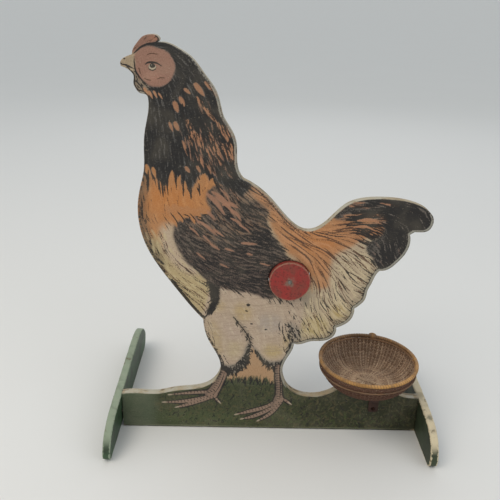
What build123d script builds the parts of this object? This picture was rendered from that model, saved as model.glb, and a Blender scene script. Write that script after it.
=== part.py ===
from build123d import *
from math import cos, radians, sin, sqrt, tan
import os

# A standing target game in the shape of a life-size hen. The hen is a flat plywood
# cut-out with a printed paper face. Two long foot boards carry it. A round button in
# its side is hit with a ball, and a rod, a lever and a gate behind the board then let a
# wooden egg roll down a chute and drop into a basket under the tail.
#
# Frame, millimetres: X to the right as the hen is seen, Y to the back, Z up. The origin
# lies on the floor close to the middle of the two feet.

# ---- Driving dimensions --------------------------------------------------------------

BOARD_WIDTH = 392.3
BOARD_LEFT = -194.3
BOARD_THICKNESS = 10.0
BOARD_FRONT = -69.5
BOARD_BACK = BOARD_FRONT + BOARD_THICKNESS
BOARD_LIFT = 1.5
PAPER_THICKNESS = 0.3

FOOT_THICKNESS = 10.0
LEFT_FOOT_FRONT = 141.2
LEFT_FOOT_REAR = 137.2
RIGHT_FOOT_FRONT = 143.2
RIGHT_FOOT_REAR = 104.0
LEFT_FOOT_LEAN = 3.7
FOOT_JOINT_HEIGHT = 54.0

TARGET_X = BOARD_LEFT + 213.0
TARGET_Z = 222.5
BUTTON_RADIUS = 25.0
BUTTON_GAP = 0.5
BUTTON_PROUD = 7.0
BUTTON_THICKNESS = 14.0
BUTTON_TRAVEL = 7.0

ROD_RADIUS = 4.0
ROD_SOCKET_DEPTH = 8.0
ROD_END_Y = 4.5
RUNNING_GAP = 0.06

GUIDE_BAR_WIDTH = 20.0
GUIDE_BAR_FRONT = BOARD_BACK + 38.0
GUIDE_BAR_BACK = GUIDE_BAR_FRONT + 12.0
GUIDE_BAR_BOTTOM = 193.0
GUIDE_BAR_TOP = 265.0
SPACER_BOTTOM = 249.0
BUSH_RADIUS = 6.0
BUSH_LIP = 1.0

LEVER_PIVOT_Y = 8.0
LEVER_PIVOT_Z = 199.0
LEVER_WIDTH = 6.0
LEVER_DEPTH = 6.0
LEVER_TOP = 229.0
LEVER_BOTTOM = 168.0
PIN_RADIUS = 2.0

CHUTE_SLOPE = 10.0
CHUTE_LENGTH = 150.0
CHUTE_MIDDLE_X = TARGET_X - 19.0
CHUTE_FLOOR_THICKNESS = 5.0
CHUTE_FLOOR_AT_GATE = 155.0
RAIL_THICKNESS = 4.0
RAIL_HEIGHT = 10.0
RAIL_INNER_Y = BOARD_BACK + 50.0
RAIL_OUTER_Y = RAIL_INNER_Y + RAIL_THICKNESS

GATE_PIN_X = TARGET_X + 20.0
GATE_PIN_Y = 0.5
GATE_BOTTOM = 170.9
GATE_THICKNESS = 5.0
GATE_BAR_WIDTH = 6.0
GATE_FINGER_X = TARGET_X + 48.0
GATE_FINGER_TIP_Y = RAIL_INNER_Y - 10.5

EGG_RADIUS = 17.0
EGG_BLUNT_LENGTH = 20.0
EGG_POINTED_LENGTH = 24.0
EGG_Y = -36.5
EGG_FLOAT = 0.3

BASKET_X = 126.2
BASKET_Y = (BOARD_FRONT + BOARD_BACK) / 2
BASKET_BOTTOM = 74.0
BASKET_BASE_RADIUS = 38.0
BASKET_TOP_RADIUS = 63.0
BASKET_WALL = 3.0
BASKET_LIP = 106.5
RIM_TUBE = 2.5
HOOP_TUBE = 1.5
HOOP_Z = 98.0

SCREW_HEAD_RADIUS = 3.4
SCREW_HEAD_HEIGHT = 1.8
SCREW_SHANK_RADIUS = 1.6


# ---- Helpers -------------------------------------------------------------------------


def box_between(x, y, z):
    """A box from three (low, high) pairs."""
    size = [high - low for low, high in (x, y, z)]
    middle = [(high + low) / 2 for low, high in (x, y, z)]
    return Pos(*middle) * Box(*size)


def rod_along(direction, start, length, radius):
    """A round bar that starts at a point and runs along a direction."""
    return Plane(origin=start, z_dir=direction) * Cylinder(
        radius, length, align=(Align.CENTER, Align.CENTER, Align.MIN)
    )


def screw(head_face, direction, length):
    """A slotted round-head screw. Its head stands on head_face, its shank runs inwards."""
    head = Cylinder(
        SCREW_HEAD_RADIUS, SCREW_HEAD_HEIGHT, align=(Align.CENTER, Align.CENTER, Align.MAX)
    )
    head = fillet(head.edges().sort_by(Axis.Z)[0], 0.9)
    slot = Pos(0, 0, -SCREW_HEAD_HEIGHT) * Box(8, 0.9, 1.6)
    shank = Cylinder(SCREW_SHANK_RADIUS, length, align=(Align.CENTER, Align.CENTER, Align.MIN))
    return Plane(origin=head_face, z_dir=direction) * (head - slot + shank)


def closed_face(stretches, to_point):
    """A flat face from stretches of points that share their ends.

    A stretch of two points is a straight line, and a longer one is a smooth curve.
    """
    edges = []
    for stretch in stretches:
        points = [to_point(*point) for point in stretch]
        edges.append(Line(*points) if len(points) == 2 else Spline(*points))
    return make_face(edges)


def ring(radius, tube, height):
    """A round hoop about the basket's axis."""
    return Pos(BASKET_X, BASKET_Y, height) * Torus(radius, tube)


def group(*solids):
    """Separate solids that share one node."""
    return Compound(children=list(solids))


def save(shape, name):
    """Write one node."""
    shape.label = name
    export_step(shape, f"parts/{name}.step")


# ---- Hen board -----------------------------------------------------------------------

# The outline runs clockwise. Each point is its distance from the board's left end and
# its height. Neighbouring stretches meet in a corner, as the saw cut does.
RIGHT = BOARD_WIDTH
LEDGE_LEFT = BASKET_X - BOARD_LEFT - 27
LEDGE_RIGHT = BASKET_X - BOARD_LEFT + 27
HEN_OUTLINE = [
    [(0, BOARD_LIFT), (0, 52)],
    # Grass, left foot and the front of the left leg
    [(0, 52), (24, 53.5), (50, 53.5), (68, 58), (90, 61), (110, 66), (124, 78), (130, 96),
     (126, 114), (115, 135), (110, 150), (108, 166)],
    # Belly, breast and throat
    [(108, 166), (95, 181), (75, 208), (55, 237), (40, 266), (34, 290), (33, 310), (37, 335),
     (42, 355), (43, 375), (45, 400), (50, 424), (50, 435)],
    # Wattle
    [(50, 435), (47, 439), (42, 440), (37, 445), (35, 451), (35.5, 458), (33, 462), (29, 465),
     (23, 467.5)],
    # Beak
    [(23, 467.5), (22, 471), (25, 475.5), (30, 478), (35, 480)],
    # Comb
    [(35, 480), (36, 485), (41, 492), (47, 498), (55, 500), (61.5, 499), (64, 496), (61, 492)],
    # Back of the neck
    [(61, 492), (71, 492), (83, 487), (97, 478), (110, 462), (120, 449), (127, 433),
     (131, 417), (140, 402), (146, 387), (147, 366), (149, 356), (155, 346)],
    # Back
    [(155, 346), (164, 341.5), (188, 322), (216, 292), (223, 287.5), (232, 285.5), (240, 287),
     (251, 294), (268, 312), (278, 320)],
    # Tail
    [(278, 320), (290, 324.5), (312, 327), (335, 326), (357, 321), (370, 314), (377, 305),
     (377, 296), (372, 289), (365, 287.5), (357, 287.5)],
    [(357, 287.5), (352, 284)],
    # Fluff under the tail, in four scallops
    [(352, 284), (353, 270), (349, 259), (340, 247), (331, 239), (321, 237)],
    [(321, 237), (316, 229), (313, 220), (309, 210), (307, 198), (301, 190), (295, 185)],
    [(295, 185), (294.5, 176), (289, 166), (282, 161), (274.5, 157.5)],
    [(274.5, 157.5), (274, 149), (268, 141.5), (256, 138), (243, 137), (232, 133), (223, 133)],
    # Back of the right leg
    [(223, 133), (220.5, 123), (214, 110), (210, 97), (211, 84), (217, 68), (229, 57.5),
     (245, 53), (262, 54)],
    # Bank of grass with a level seat for the basket
    [(262, 54), (279, 62), (LEDGE_LEFT, BASKET_BOTTOM)],
    [(LEDGE_LEFT, BASKET_BOTTOM), (LEDGE_RIGHT, BASKET_BOTTOM)],
    [(LEDGE_RIGHT, BASKET_BOTTOM), (368, 56.5), (RIGHT, 54)],
    [(RIGHT, 54), (RIGHT, BOARD_LIFT)],
    [(RIGHT, BOARD_LIFT), (0, BOARD_LIFT)],
]


def hen_slab(front, thickness):
    """The hen's silhouette as a slab, with the round hole for the button."""
    face = closed_face(HEN_OUTLINE, lambda u, z: Vector(BOARD_LEFT + u, front, z))
    slab = extrude(face, amount=thickness, dir=(0, 1, 0))
    hole_radius = BUTTON_RADIUS + BUTTON_GAP
    return slab - rod_along((0, 1, 0), (TARGET_X, front - 1, TARGET_Z), thickness + 2, hole_radius)


# ---- Feet ----------------------------------------------------------------------------

def foot_side(front, rear):
    """The side view, from the front tip upwards: distance from the middle and height."""
    return [
        [(8 - front, -3), (8 - front, 0)],
        [(8 - front, 0), (1 - front, 6), (-front, 18), (8 - front, 34), (22 - front, 44),
         (44 - front, 49), (-50, 52), (0, 55), (rear - 86, 57), (rear - 52, 55.5), (rear - 26, 47),
         (rear - 9, 34), (rear, 18), (rear - 2, 6), (rear - 9, 0)],
        [(rear - 9, 0), (rear - 9, -3)],
        [(rear - 9, -3), (8 - front, -3)],
    ]


def foot(inner_x, side, lean, front, rear):
    """A foot board. Side is -1 for the left one; lean tips its lower edge outwards."""
    face = closed_face(foot_side(front, rear), lambda y, z: Vector(inner_x, y, z))
    board = extrude(face, amount=FOOT_THICKNESS, dir=(side, 0, 0))
    board = board.rotate(Axis((inner_x, 0, FOOT_JOINT_HEIGHT), (0, 1, 0)), -side * lean)
    floor = box_between((-400, 400), (-300, 300), (-50, 0))
    return board - floor


FOOT_SCREW_Y = (BOARD_FRONT + BOARD_BACK) / 2
FOOT_SCREW_HEIGHTS = (22.0, 41.0)


def foot_screws():
    """Two screws in each foot, straight into the board's end."""
    right_face = BOARD_LEFT + BOARD_WIDTH + FOOT_THICKNESS
    screws = []
    for height in FOOT_SCREW_HEIGHTS:
        # The left foot leans, so its outer face stands further out lower down.
        lean_out = (FOOT_JOINT_HEIGHT - height) * sin(radians(LEFT_FOOT_LEAN))
        left_face = BOARD_LEFT - FOOT_THICKNESS - lean_out
        screws.append(screw((left_face, FOOT_SCREW_Y, height), (1, 0, 0), 30 + lean_out))
        screws.append(screw((right_face, FOOT_SCREW_Y, height), (-1, 0, 0), 30))
    return screws


def corner_block(inner_x, side):
    """A glued block that ties the board's back to a foot."""
    size = 16.0
    near, far = sorted((inner_x, inner_x - side * size))
    return box_between((near, far), (BOARD_BACK, BOARD_BACK + size), (4, 40))


# ---- Button, rod and their guide -----------------------------------------------------

BUTTON_FRONT = BOARD_FRONT - PAPER_THICKNESS - BUTTON_PROUD
BUTTON_BACK = BUTTON_FRONT + BUTTON_THICKNESS
NAIL_HEAD_RADIUS = 2.4
NAIL_HEAD_HEIGHT = 0.9
NAIL_RADIUS = 0.9
NAIL_LENGTH = 12.0


def target_point(y):
    """A point on the rod's axis."""
    return (TARGET_X, y, TARGET_Z)


def target_nail():
    """The nail through the button into the rod, with a flat head."""
    head = rod_along(
        (0, 1, 0), target_point(BUTTON_FRONT - NAIL_HEAD_HEIGHT), NAIL_HEAD_HEIGHT, NAIL_HEAD_RADIUS
    )
    shank = rod_along((0, 1, 0), target_point(BUTTON_FRONT), NAIL_LENGTH, NAIL_RADIUS)
    return head + shank


def target_button():
    """The round wooden button, with a socket in its back for the rod."""
    button = rod_along((0, 1, 0), target_point(BUTTON_FRONT), BUTTON_THICKNESS, BUTTON_RADIUS)
    button = fillet(button.edges().sort_by(Axis.Y)[0], 1.2)
    socket_y = BUTTON_BACK - ROD_SOCKET_DEPTH
    button -= rod_along((0, 1, 0), target_point(socket_y), ROD_SOCKET_DEPTH + 1, ROD_RADIUS)
    return button - target_nail()


def plunger_rod():
    """The dowel that carries the button, with a domed rear end."""
    start = BUTTON_BACK - ROD_SOCKET_DEPTH
    rod = rod_along((0, 1, 0), target_point(start), ROD_END_Y - start, ROD_RADIUS)
    rod = fillet(rod.edges().sort_by(Axis.Y)[-1], ROD_RADIUS - 0.4)
    return rod - target_nail()


STOP_COLLAR_FRONT = GUIDE_BAR_BACK + BUSH_LIP + 0.3


def stop_collar():
    """The wooden collar glued on the rod. It meets the bush and stops the rod's return."""
    collar = rod_along((0, 1, 0), target_point(STOP_COLLAR_FRONT), 6, 8)
    collar = chamfer(collar.edges().sort_by(Axis.Y)[-1], 1.0)
    return collar - rod_along((0, 1, 0), target_point(STOP_COLLAR_FRONT - 1), 8, ROD_RADIUS)


def guide_bush():
    """The brass tube that the rod runs in."""
    start = GUIDE_BAR_FRONT - BUSH_LIP
    length = GUIDE_BAR_BACK + BUSH_LIP - start
    tube = rod_along((0, 1, 0), target_point(start), length, BUSH_RADIUS)
    return tube - rod_along((0, 1, 0), target_point(start - 1), length + 2, ROD_RADIUS + RUNNING_GAP)


WASHER_THICKNESS = 1.0
SPRING_END = GUIDE_BAR_FRONT - BUSH_LIP - WASHER_THICKNESS


def spring_washer():
    """The washer that the spring bears on at its rear end."""
    washer = rod_along((0, 1, 0), target_point(SPRING_END), WASHER_THICKNESS, 9.5)
    return washer - rod_along((0, 1, 0), target_point(SPRING_END - 1), 3, ROD_RADIUS + 0.4)


def return_spring():
    """The compression spring round the rod, from the button's back to the washer."""
    wire = 0.7
    radius = 7.0
    turns = 8
    start = BUTTON_BACK + wire
    length = SPRING_END - wire - start
    helix = Helix(pitch=length / turns, height=length, radius=radius)
    section = Plane(origin=helix @ 0, z_dir=helix % 0) * Circle(wire)
    coil = sweep(section, path=helix, is_frenet=True)
    return Plane(origin=target_point(start), z_dir=(0, 1, 0)) * coil


def guide_screws():
    """Two long screws through the guide bar and its spacer into the board."""
    length = GUIDE_BAR_BACK - BOARD_BACK + 7
    height = (SPACER_BOTTOM + GUIDE_BAR_TOP) / 2
    return [
        screw((TARGET_X + offset, GUIDE_BAR_BACK, height), (0, -1, 0), length)
        for offset in (-5, 5)
    ]


def guide_bar():
    """The upright bar behind the button, drilled for the bush."""
    half = GUIDE_BAR_WIDTH / 2
    bar = box_between(
        (TARGET_X - half, TARGET_X + half),
        (GUIDE_BAR_FRONT, GUIDE_BAR_BACK),
        (GUIDE_BAR_BOTTOM, GUIDE_BAR_TOP),
    )
    bar = fillet(bar.edges().filter_by(Axis.Y), 2.5)
    return bar - rod_along((0, 1, 0), target_point(GUIDE_BAR_FRONT - 1), 14, BUSH_RADIUS)


def top_spacer():
    """The block that holds the guide bar off the board's back."""
    half = GUIDE_BAR_WIDTH / 2
    return box_between(
        (TARGET_X - half, TARGET_X + half),
        (BOARD_BACK, GUIDE_BAR_FRONT),
        (SPACER_BOTTOM, GUIDE_BAR_TOP),
    )


# ---- Trigger lever -------------------------------------------------------------------

BRACKET_SHEET = 2.0
BRACKET_HALF_WIDTH = 8.0
BRACKET_HEIGHTS = (193.0, 205.0)


def lever_pin():
    """The pin across the bracket that the lever turns on."""
    start = (TARGET_X - BRACKET_HALF_WIDTH - 1.5, LEVER_PIVOT_Y, LEVER_PIVOT_Z)
    return rod_along((1, 0, 0), start, 2 * BRACKET_HALF_WIDTH + 3, PIN_RADIUS)


def bracket_screws():
    """Two screws that hold the bracket on the guide bar."""
    return [
        screw((TARGET_X, GUIDE_BAR_BACK + BRACKET_SHEET, height), (0, -1, 0), 9)
        for height in (195.6, 202.4)
    ]


def lever_bracket():
    """The folded steel bracket: a back plate and two cheeks."""
    plate = box_between(
        (TARGET_X - BRACKET_HALF_WIDTH, TARGET_X + BRACKET_HALF_WIDTH),
        (GUIDE_BAR_BACK, GUIDE_BAR_BACK + BRACKET_SHEET),
        BRACKET_HEIGHTS,
    )
    for side in (-1, 1):
        outer = TARGET_X + side * BRACKET_HALF_WIDTH
        cheek = box_between(
            sorted((outer, outer - side * BRACKET_SHEET)),
            (GUIDE_BAR_BACK, LEVER_PIVOT_Y + 6),
            BRACKET_HEIGHTS,
        )
        corners = cheek.edges().filter_by(Axis.X).group_by(Axis.Y)[-1]
        plate += fillet(corners, 5)
    for part in [lever_pin(), *bracket_screws()]:
        plate -= part
    return plate


def trigger_lever():
    """The upright lever. The rod pushes its top back and its foot swings forward."""
    bar = box_between(
        (TARGET_X - LEVER_WIDTH / 2, TARGET_X + LEVER_WIDTH / 2),
        (LEVER_PIVOT_Y - LEVER_DEPTH / 2, LEVER_PIVOT_Y + LEVER_DEPTH / 2),
        (LEVER_BOTTOM, LEVER_TOP),
    )
    ends = bar.edges().filter_by(Axis.X)
    bar = fillet(ends, 2.0)
    boss_half = BRACKET_HALF_WIDTH - BRACKET_SHEET - 0.5
    boss_start = (TARGET_X - boss_half, LEVER_PIVOT_Y, LEVER_PIVOT_Z)
    bar += rod_along((1, 0, 0), boss_start, 2 * boss_half, 4.6)
    hole_start = (TARGET_X - 20, LEVER_PIVOT_Y, LEVER_PIVOT_Z)
    return bar - rod_along((1, 0, 0), hole_start, 40, PIN_RADIUS + RUNNING_GAP)


# ---- Chute ---------------------------------------------------------------------------

# The chute is drawn level, with its floor's top at height 0 and its middle at X 0, and
# is then tipped so that it falls towards the basket.
CHUTE_FALL = tan(radians(CHUTE_SLOPE))
CHUTE_MIDDLE_Z = CHUTE_FLOOR_AT_GATE + (TARGET_X + 18.0 - CHUTE_MIDDLE_X) * CHUTE_FALL
CHUTE_PLACE = Pos(CHUTE_MIDDLE_X, 0, CHUTE_MIDDLE_Z) * Rot(0, CHUTE_SLOPE, 0)
HALF_CHUTE = CHUTE_LENGTH / 2
RAIL_PIN_PLACES = (-62.0, -22.0, 18.0, 62.0)


def floor_height(x):
    """The height of the chute's floor at a place along it."""
    return CHUTE_MIDDLE_Z - (x - CHUTE_MIDDLE_X) * CHUTE_FALL


def rail_pins():
    """Pins down through the rail into the floor."""
    middle_y = (RAIL_INNER_Y + RAIL_OUTER_Y) / 2
    pins = []
    for place in RAIL_PIN_PLACES:
        shank = rod_along((0, 0, -1), (place, middle_y, RAIL_HEIGHT), 13, 0.7)
        head = rod_along((0, 0, 1), (place, middle_y, RAIL_HEIGHT), 0.5, 1.5)
        pins.append(CHUTE_PLACE * (shank + head))
    return pins


def chute_floor():
    """The sloping floor."""
    floor = box_between(
        (-HALF_CHUTE, HALF_CHUTE), (BOARD_BACK, RAIL_OUTER_Y), (-CHUTE_FLOOR_THICKNESS, 0)
    )
    return CHUTE_PLACE * floor


def chute_rail():
    """The low rail along the chute's open side."""
    rail = box_between((-HALF_CHUTE, HALF_CHUTE), (RAIL_INNER_Y, RAIL_OUTER_Y), (0, RAIL_HEIGHT))
    top = rail.edges().filter_by(Axis.X).group_by(Axis.Z)[-1]
    return CHUTE_PLACE * fillet(top, 1.2)


def chute_end_stop():
    """The block that closes the chute's upper end."""
    stop = box_between((-HALF_CHUTE, -HALF_CHUTE + 8), (BOARD_BACK, RAIL_INNER_Y), (0, 14))
    return CHUTE_PLACE * stop


def chute_bracket(place):
    """A three-cornered bracket under the floor, glued to the board's back."""
    top = -CHUTE_FLOOR_THICKNESS
    corners = [(BOARD_BACK, top), (RAIL_INNER_Y - 4, top), (RAIL_INNER_Y - 4, top - 6),
               (BOARD_BACK + 8, top - 38), (BOARD_BACK, top - 38)]
    side = make_face(Polyline(*[(place - 4, y, z) for y, z in corners], close=True))
    return CHUTE_PLACE * extrude(side, amount=8, dir=(1, 0, 0))


# ---- Gate ----------------------------------------------------------------------------


def gate_pin():
    """The upright pin that the gate turns on, with a head on top."""
    start = (GATE_PIN_X, GATE_PIN_Y, GATE_BOTTOM - 14)
    stem = rod_along((0, 0, 1), start, 14 + GATE_THICKNESS + 5, PIN_RADIUS)
    head_start = (GATE_PIN_X, GATE_PIN_Y, GATE_BOTTOM + GATE_THICKNESS + 5)
    return stem + rod_along((0, 0, 1), head_start, 1.4, 3.4)


def gate_block():
    """The block on the back of the rail that holds the gate's pin."""
    block = box_between(
        (GATE_PIN_X - 8, GATE_PIN_X + 8),
        (RAIL_OUTER_Y, GATE_PIN_Y + 6.5),
        (floor_height(GATE_PIN_X) - 5, GATE_BOTTOM - 1.3),
    )
    block = fillet(block.edges().filter_by(Axis.Z).group_by(Axis.Y)[-1], 2.5)
    return block - gate_pin()


def gate_washer():
    """The washer between the block and the gate."""
    washer = rod_along((0, 0, 1), (GATE_PIN_X, GATE_PIN_Y, GATE_BOTTOM - 1.3), 1.0, 4.5)
    return washer - gate_pin()


def gate_spring():
    """The light coil over the gate that turns it back."""
    turns = 4
    height = 3.2
    helix = Helix(pitch=height / turns, height=height, radius=3.1)
    section = Plane(origin=helix @ 0, z_dir=helix % 0) * Circle(0.3)
    coil = sweep(section, path=helix, is_frenet=True)
    return Pos(GATE_PIN_X, GATE_PIN_Y, GATE_BOTTOM + GATE_THICKNESS + 0.9) * coil


def egg_gate():
    """The turning gate: an arm that the lever pushes and a finger across the chute."""
    heights = (GATE_BOTTOM, GATE_BOTTOM + GATE_THICKNESS)
    half = GATE_BAR_WIDTH / 2
    arm_start = TARGET_X - 4
    finger = (GATE_FINGER_X - 2.5, GATE_FINGER_X + 2.5)
    gate = box_between((arm_start, finger[1]), (GATE_PIN_Y - half, GATE_PIN_Y + half), heights)
    gate += box_between(finger, (GATE_FINGER_TIP_Y, GATE_PIN_Y + half), heights)
    gate += rod_along((0, 0, 1), (GATE_PIN_X, GATE_PIN_Y, GATE_BOTTOM), GATE_THICKNESS, 5)
    tips = gate.edges().filter_by(Axis.Z)
    gate = fillet(tips.group_by(Axis.Y)[0] + tips.group_by(Axis.X)[0], 2.0)
    hole_start = (GATE_PIN_X, GATE_PIN_Y, GATE_BOTTOM - 1)
    return gate - rod_along((0, 0, 1), hole_start, GATE_THICKNESS + 2, PIN_RADIUS + RUNNING_GAP)


# ---- Eggs ----------------------------------------------------------------------------

EGG_1_X = GATE_FINGER_X - 2.5 - 13.5
EGG_PITCH = (2 * EGG_RADIUS + 0.4) * cos(radians(CHUTE_SLOPE))
EGG_2_X = EGG_1_X - EGG_PITCH


def egg(x):
    """A turned wooden egg that lies across the chute, pointed end to the back."""
    height = floor_height(x) + (EGG_RADIUS + EGG_FLOAT) / cos(radians(CHUTE_SLOPE))
    steps = 16
    outline = []
    for step in range(steps + 1):
        along = -cos(radians(180.0 * step / steps))
        length = EGG_POINTED_LENGTH if along > 0 else EGG_BLUNT_LENGTH
        radius = EGG_RADIUS * sqrt(max(0.0, 1 - along * along))
        outline.append((x, EGG_Y + length * along, height + radius))
    axis_line = Line(outline[-1], outline[0])
    half_section = make_face([Spline(*outline, tangents=[(0, 0, 1), (0, 0, -1)]), axis_line])
    return revolve(half_section, Axis((x, EGG_Y, height), (0, 1, 0)))


# ---- Basket --------------------------------------------------------------------------


def basket_radius(z):
    """The bowl's outer radius at a height: full just above its base, then steep."""
    rise = (z - BASKET_BOTTOM) / (BASKET_LIP - BASKET_BOTTOM)
    swell = (1 - (1 - rise) ** 1.7) ** (1 / 1.7)
    return BASKET_BASE_RADIUS + (BASKET_TOP_RADIUS - BASKET_BASE_RADIUS) * swell


def basket_bowl():
    """The woven bowl as an open shell of even thickness."""
    heights = [BASKET_BOTTOM, 77.5, 82, 88, 96, BASKET_LIP]
    outer = [(BASKET_X + basket_radius(z), BASKET_Y, z) for z in heights]
    inner = [(x - BASKET_WALL, y, z) for x, y, z in outer]
    inner[0] = (inner[0][0], BASKET_Y, BASKET_BOTTOM + BASKET_WALL)
    inner[1] = (inner[1][0] - 1.6, BASKET_Y, inner[1][2] + 1.8)
    centre_low = (BASKET_X, BASKET_Y, BASKET_BOTTOM)
    centre_high = (BASKET_X, BASKET_Y, BASKET_BOTTOM + BASKET_WALL)
    section = make_face([
        Line(centre_low, outer[0]),
        Spline(*outer),
        Line(outer[-1], inner[-1]),
        Spline(*reversed(inner)),
        Line(inner[0], centre_high),
        Line(centre_high, centre_low),
    ])
    return revolve(section, Axis((BASKET_X, BASKET_Y, 0), (0, 0, 1)))


RIM_RADIUS = BASKET_TOP_RADIUS - BASKET_WALL / 2
RIM_Z = BASKET_LIP + RIM_TUBE
KNOT_AZIMUTH = 74.0
KNOT_ARC = 8.5


def basket_rim():
    """The thick hoop that finishes the bowl's edge."""
    return ring(RIM_RADIUS, RIM_TUBE, RIM_Z)


def basket_knot():
    """The bound end of the rim's cane: a short sleeve over the top of the rim at the back."""
    across = Plane(origin=(BASKET_X + RIM_RADIUS, BASKET_Y, RIM_Z), x_dir=(1, 0, 0), z_dir=(0, -1, 0))
    section = Circle(RIM_TUBE + 1.0) - Circle(RIM_TUBE + 0.1)
    section -= Pos(0, -RIM_TUBE - 1.8) * Rectangle(12, 4)
    basket_axis = Axis((BASKET_X, BASKET_Y, 0), (0, 0, 1))
    sleeve = revolve(across * section, basket_axis, revolution_arc=KNOT_ARC)
    return sleeve.rotate(basket_axis, KNOT_AZIMUTH - KNOT_ARC / 2)


STRAP_X = 138.5
STRAP_WIDTH = 13.0
STRAP_THICKNESS = 1.8
STRAP_BOTTOM = 32.0
STRAP_REACH = 20.0


def strap_nail():
    """The round-head nail through the strap into the board."""
    face = BOARD_FRONT - PAPER_THICKNESS - STRAP_THICKNESS
    head = rod_along((0, -1, 0), (STRAP_X, face, 37), 1.2, 2.4)
    head = fillet(head.edges().sort_by(Axis.Y)[0], 0.9)
    return head + rod_along((0, 1, 0), (STRAP_X, face, 37), 8, 0.9)


def basket_strap():
    """The leather strap: down the board's face, and forward under the basket's base."""
    face = BOARD_FRONT - PAPER_THICKNESS
    across = (STRAP_X - STRAP_WIDTH / 2, STRAP_X + STRAP_WIDTH / 2)
    hanging = box_between(across, (face - STRAP_THICKNESS, face), (STRAP_BOTTOM, BASKET_BOTTOM))
    under = box_between(
        across, (face - STRAP_REACH, face), (BASKET_BOTTOM - STRAP_THICKNESS, BASKET_BOTTOM)
    )
    strap = hanging + under
    strap = fillet(strap.edges().filter_by(Axis.Y).group_by(Axis.Z)[0], 3.0)
    return strap - strap_nail()


SEAT_BLOCK_BACK = BOARD_BACK + 23.5


def seat_block_screws():
    """Two screws from the back through the basket's block into the board."""
    return [
        screw((BASKET_X + offset, SEAT_BLOCK_BACK, 67), (0, -1, 0), SEAT_BLOCK_BACK - BOARD_BACK + 7)
        for offset in (-9, 9)
    ]


def basket_seat_block():
    """The block behind the board that widens the basket's seat."""
    return box_between(
        (BASKET_X - 17, BASKET_X + 17), (BOARD_BACK, SEAT_BLOCK_BACK), (60, BASKET_BOTTOM)
    )


# ---- Write the nodes -----------------------------------------------------------------


def without(shape, cutters):
    """A shape with a hole for each cutter."""
    for cutter in cutters:
        shape = shape - cutter
    return shape


def main():
    """Build every node and write it."""
    os.makedirs("parts", exist_ok=True)
    board_right = BOARD_LEFT + BOARD_WIDTH
    feet_screws = foot_screws()
    long_screws = guide_screws()
    block_screws = seat_block_screws()
    pins = rail_pins()
    left_foot = foot(BOARD_LEFT, -1, LEFT_FOOT_LEAN, LEFT_FOOT_FRONT, LEFT_FOOT_REAR)
    left_block = corner_block(BOARD_LEFT, -1) - left_foot

    board = hen_slab(BOARD_FRONT, BOARD_THICKNESS)
    save(without(board, [*feet_screws, *long_screws, *block_screws, strap_nail()]), "hen_board")
    paper = hen_slab(BOARD_FRONT - PAPER_THICKNESS, PAPER_THICKNESS)
    save(without(paper, [strap_nail()]), "printed_face")

    save(without(left_foot, feet_screws), "left_foot")
    right_foot = foot(board_right, 1, 0, RIGHT_FOOT_FRONT, RIGHT_FOOT_REAR)
    save(without(right_foot, feet_screws), "right_foot")
    save(group(*feet_screws), "foot_screws")
    save(group(left_block, corner_block(board_right, 1)), "corner_blocks")

    save(target_button(), "target_button")
    save(target_nail(), "target_nail")
    save(plunger_rod(), "plunger_rod")
    save(stop_collar(), "stop_collar")
    save(return_spring(), "return_spring")
    save(spring_washer(), "spring_washer")
    save(guide_bush(), "guide_bush")
    save(without(guide_bar(), [*long_screws, *bracket_screws()]), "guide_bar")
    save(without(top_spacer(), long_screws), "top_spacer")
    save(group(*long_screws), "guide_screws")

    save(lever_bracket(), "lever_bracket")
    save(group(*bracket_screws()), "bracket_screws")
    save(lever_pin(), "lever_pin")
    save(trigger_lever(), "trigger_lever")

    save(without(chute_floor(), pins), "chute_floor")
    save(without(chute_rail(), pins), "chute_rail")
    save(group(*pins), "rail_pins")
    save(chute_end_stop(), "chute_end_stop")
    save(chute_bracket(-54), "chute_bracket_upper")
    save(chute_bracket(8), "chute_bracket_lower")

    save(gate_block(), "gate_block")
    save(gate_washer(), "gate_washer")
    save(gate_pin(), "gate_pin")
    save(gate_spring(), "gate_spring")
    save(egg_gate(), "egg_gate")
    save(egg(EGG_1_X), "egg_1")
    save(egg(EGG_2_X), "egg_2")

    save(basket_bowl(), "basket_bowl")
    save(basket_rim(), "basket_rim")
    save(ring(basket_radius(HOOP_Z) + HOOP_TUBE + 0.3, HOOP_TUBE, HOOP_Z), "basket_hoop")
    save(basket_knot(), "basket_knot")
    save(basket_strap(), "basket_strap")
    save(strap_nail(), "strap_nail")
    save(without(basket_seat_block(), block_screws), "basket_seat_block")
    save(group(*block_screws), "seat_block_screws")


main()
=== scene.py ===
"""A plywood hen on two foot boards, with a push button and a cane basket for its wooden eggs.

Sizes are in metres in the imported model's frame: X right, Y back, Z up. The picture on the board
is laid out in millimetres: u from the board's left end and z from the floor.
"""

import logging
import math
from collections.abc import Callable, Sequence
from dataclasses import dataclass, field
from enum import Enum

import bmesh
import bpy
import numpy as np
from mathutils import Matrix, Vector, geometry, kdtree


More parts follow.
